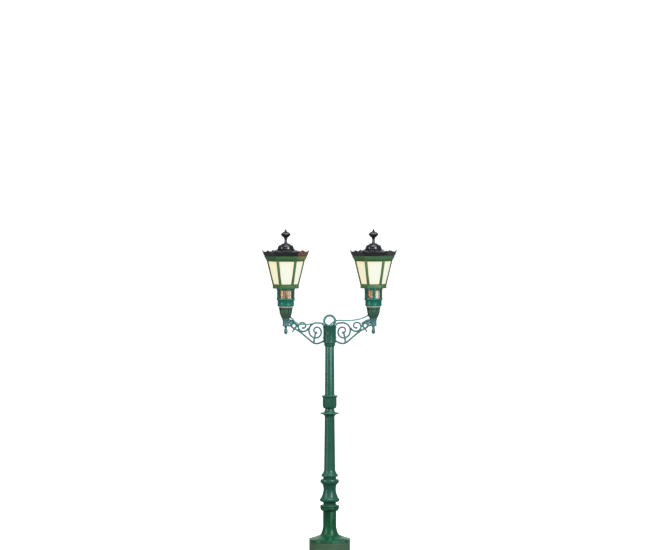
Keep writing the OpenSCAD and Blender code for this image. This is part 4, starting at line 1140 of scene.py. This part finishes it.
def spread(sheet, side, number, proud):
    """Lays a unit square on one face of a lantern, and proud of it by a function of the place."""
    turn = math.radians(FACE_TURN * (number + 0.5))
    out = Vector((math.cos(turn), math.sin(turn), 0))
    along = Vector((-math.sin(turn), math.cos(turn), 0))
    for point in sheet.data.vertices:
        across, up = point.co.x, point.co.y + 0.5
        wide = PANE_WIDE_LOW + (PANE_WIDE_HIGH - PANE_WIDE_LOW) * up
        reach = (CORNER_LOW + (CORNER_HIGH - CORNER_LOW) * up) * APOTHEM - PANE_INSET + proud(across, up)
        middle = Vector((SIDES[side] * ARM, 0, PANE_LOW + (PANE_HIGH - PANE_LOW) * up))
        point.co = (middle + out * reach + along * across * wide) * MM


def pane(side, number):
    """One sheet of opal, blown out a little in its middle."""
    begin()
    bpy.ops.mesh.primitive_plane_add(size=1)
    bpy.ops.object.mode_set(mode="EDIT")
    bpy.ops.mesh.select_all(action="SELECT")
    bpy.ops.mesh.subdivide(number_cuts=11)
    bpy.ops.object.mode_set(mode="OBJECT")
    sheet = call(f"opal_pane_{side}_{number + 1}")
    spread(sheet, side, number,
           lambda across, up: PANE_BULGE * math.cos(math.pi * across) * math.sin(math.pi * up))
    modify(sheet, "SOLIDIFY", thickness=PANE_THICK * MM, offset=-1)
    # panes facing left get the warmer opal with its painted warm light
    glass = "opal_glass_warm_lit" if number in WARM_LIT_PANES else "opal_glass"
    settle(sheet, "post", "opal_glass", [f"panes_{side}"] if number == 0 else (),
           finish=MATERIALS[glass])


# %% Glazing beads
BEAD_WIDE = 13
BEAD_THICK = 3.6
BEAD_PROUD = 0.4


def glazing_bead(side, number):
    """A narrow frame that holds the pane, cut from a sheet of the same shape."""
    begin()
    bpy.ops.mesh.primitive_plane_add(size=1)
    sheet = call(f"glazing_bead_{side}_{number + 1}")
    spread(sheet, side, number, lambda across, up: BEAD_PROUD)
    pick(sheet, lambda point: True)
    bpy.ops.mesh.inset(thickness=BEAD_WIDE * MM, use_even_offset=True)
    bpy.ops.mesh.delete(type="FACE")
    close_seams()
    modify(sheet, "SOLIDIFY", thickness=BEAD_THICK * MM, offset=1)
    ease(sheet, 1.2, 3)
    settle(sheet, "post", "lantern_paint")


for side in SIDES:
    for number in range(SIDES_OF_LANTERN):
        pane(side, number)
        glazing_bead(side, number)

# %% [markdown]
# ### Lamps
# The lamp is blown glass: a straight neck that opens into a ball.

# %% Lamps
BULB_R = 48
BULB_UP = 280
ball = [(BULB_R * math.cos(turn), BULB_UP + BULB_R * math.sin(turn))
        for turn in map(math.radians, range(-60, 91, 10))]
bulb_outline = ([(0, 0), (30, 0), (32, 4), (32, 120), (32.5, 127)]
                + cove((34, 131), (BULB_R, 205), 12) + ball)
for side in SIDES:
    bulb = lathe(f"lamp_{side}_blown", bulb_outline, foot(f"lamp_{side}"), 48)
    settle(bulb, "post", "lamp_glass", [f"lamp_{side}"], smooth=60)

# %% [markdown]
# ### Painted warm reflection
# The left lantern's inner side has a painted warm reflection: its black crown and green top band
# turn brown there. A finish is copied, and its colour is turned brown past a place along X.

# %% Painted warm reflection
WARM_REFLECTION_START = -0.37
WARM_REFLECTION_END = -0.31


def warm_reflection_copy(source, name, brown):
    """A copy of a finish with a painted warm reflection, brown on the left lantern's inner side."""
    finish = Finish(name, source=source)
    along = finish.node("ShaderNodeSeparateXYZ", inputs={0: finish.place}, out="X")
    patchy = finish.noise(26, 3)
    old = Wire(finish, finish.shader.inputs["Base Color"].links[0].from_socket)
    # painted reflection: past a place along X, with a patchy border, the colour turns brown
    share = (along + patchy * 0.05).between(WARM_REFLECTION_START, WARM_REFLECTION_END) * 0.8
    finish.wear("Base Color", finish.mix(share, old, brown))
    return finish.material


WARM_REFLECTION_ENAMEL = warm_reflection_copy(MATERIALS["black_enamel"], "black_enamel_painted_warm_reflection", shade(122, 70, 44))
WARM_REFLECTION_PAINT = warm_reflection_copy(MATERIALS["lantern_paint"], "lantern_paint_painted_warm_reflection", shade(138, 132, 70))
# the left lantern's top band takes the paint with the painted warm reflection
bpy.data.objects["top_band_left_edged"].material_slots[0].material = WARM_REFLECTION_PAINT
print("faded finishes:", WARM_REFLECTION_ENAMEL.name, WARM_REFLECTION_PAINT.name)

# %% [markdown]
# ### Crowns
# The crown is the black strip of scallops round the roof's edge. A pattern maker would cut
# the wavy head out of a flat strip and bend it round a hexagon. Here a strip with many points
# along it is raised by a function of the place along each face: two shallow scoops, and a horn
# at each corner that turns up and out.

# %% Crowns
CROWN_FOOT = 3487.5
CROWN_R = 245
CROWN_HEAD_R = 263
CROWN_TALL = 58
CROWN_THICK = 7
SCOOPS = 2
SCOOP_DEEP = 17
HORN_TALL = 3
HORN_LEAN = 4
FACE_STEPS = 24


def crown_head(share):
    """Height of the crown's edge at a share along a face, in millimetres, and how far it leans out."""
    scoop = abs(math.sin(math.pi * SCOOPS * share))
    horn = max(0.0, 1 - 8 * min(share, 1 - share)) ** 1.4
    return CROWN_TALL - SCOOP_DEEP * scoop ** 0.7 + HORN_TALL * horn, HORN_LEAN * horn


for side, way in SIDES.items():
    begin()
    bpy.ops.mesh.primitive_grid_add(x_subdivisions=SIDES_OF_LANTERN * FACE_STEPS, y_subdivisions=8, size=1)
    crown = call(f"crown_{side}_scalloped")
    for point in crown.data.vertices:
        share = (point.co.x + 0.5) * SIDES_OF_LANTERN
        up = point.co.y + 0.5
        face, along = divmod(min(share, SIDES_OF_LANTERN - 1e-6), 1.0)
        head, lean = crown_head(along)
        reach = CROWN_R + (CROWN_HEAD_R - CROWN_R) * up ** 1.5 + lean * up * up
        first, last = (Vector((math.cos(turn), math.sin(turn), 0))
                       for turn in (math.radians(FACE_TURN * (face + k)) for k in (0, 1)))
        corner = first.lerp(last, along)
        point.co = (Vector((way * ARM, 0, CROWN_FOOT + head * up)) + corner * reach) * MM
    pick(crown, lambda point: True)
    close_seams(0.4 * MM)
    modify(crown, "SOLIDIFY", thickness=CROWN_THICK * MM, offset=-1)
    ease(crown, 1.6, 2, 50)
    # the left crown takes the enamel with the painted warm reflection
    settle(crown, f"{side}_roof", "black_enamel", [f"crown_{side}"], smooth=50,
           finish=WARM_REFLECTION_ENAMEL if side == "left" else None)

# %% [markdown]
# ### Domes and finials
# Over each roof a bowler-shaped dome covers the vent. On it stands a turned finial: a stem
# with a collar, an onion knob and a small spike. The knob is lobed, so it is pressed between
# its eight lobes with the same tool as the tulip.

# %% Domes and finials
DOME_FOOT = 3555.5
FINIAL_FOOT = 3623.5
KNOB_LOBES = ((0, 1.0), (3.75, 0.7), (7.5, 0.35))
dome_outline = ([(0, 0), (95, 0)] + bead(98.5, 0.5, 8, 3.5, 8) + swell((92, 9), (62, 50), 12)
                + [(60, 52)] + swell((52, 54), (22, 68), 8) + [(0, 68)])
finial_outline = ([(0, 0), (23, 0), (21, 6), (17, 9), (15, 45.8), (20, 48)] + bead(22, 49, 8, 2, 6)
                  + [(15, 59.8)] + bowed((19, 61.8), (56, 100), 5, 14) + bead(57, 100.5, 4, 1, 4)
                  + bowed((56, 105), (12, 137.8), 5, 14)
                  + [(8, 140.8), (10.5, 146), (9.5, 150), (6, 156), (3, 162), (0, 166)])
for side, way in SIDES.items():
    dome = lathe(f"vent_dome_{side}_spun", dome_outline, Vector((way * ARM, 0, DOME_FOOT)) * MM, 80)
    ease(dome, 0.9)
    settle(dome, f"{side}_roof", "black_enamel", [f"vent_dome_{side}"])

    axis = Vector((way * ARM, 0, FINIAL_FOOT)) * MM
    finial = lathe(f"finial_{side}_lobed", finial_outline, axis, 96)
    press(finial, axis, 62.5, 99.5, LEAVES, BETWEEN, KNOB_LOBES, 0.12)
    press(finial, axis, 105.5, 135, LEAVES, BETWEEN, KNOB_LOBES, 0.12)
    ease(finial, 0.9)
    settle(finial, f"{side}_roof", "black_enamel", [f"finial_{side}"])

# %% [markdown]
# ## Eye ring
# The eye that the post is lifted by is a forged ring, its shank let into the hub. Forging
# leaves a flat on each side of the bar, so the ring is a torus whose front and back are
# pressed flat.

# %% Eye ring
EYE_R = 62
EYE_BAR_R = 13
FORGED_FLAT = 11.4
eye_low, eye_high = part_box("eye_ring")
begin()
bpy.ops.mesh.primitive_torus_add(major_segments=96, minor_segments=28, major_radius=EYE_R * MM,
                                 minor_radius=EYE_BAR_R * MM, rotation=(math.pi / 2, 0, 0),
                                 location=(eye_low + eye_high) / 2)
bpy.ops.object.transform_apply(location=True, rotation=True)
eye = call("eye_ring_forged")
pick(eye, lambda p: abs(p.y) > FORGED_FLAT * MM)
bpy.ops.transform.resize(value=(1, 0.93, 1), center_override=(0, 0, 0))
bpy.ops.object.mode_set(mode="OBJECT")
settle(eye, "post", "bracket_paint", ["eye_ring"], smooth=60)

# %% [markdown]
# ## What stays from the engineering model
# The drum, its door and all the bolts, pins, glands and terminals already have their true
# shape in the engineering model, so each only gets the finish of its slot. The two drum plates
# and the wall between them are painted as one.

# %% Finishes on the engineering model
slots = {part["node"]: part["material_slot"] for part in frame["record"]["subparts"]}
for name, node in frame["nodes"].items():
    node.material_slots[0].material = MATERIALS[slots[name]]
print(len(slots), "nodes have a finish")
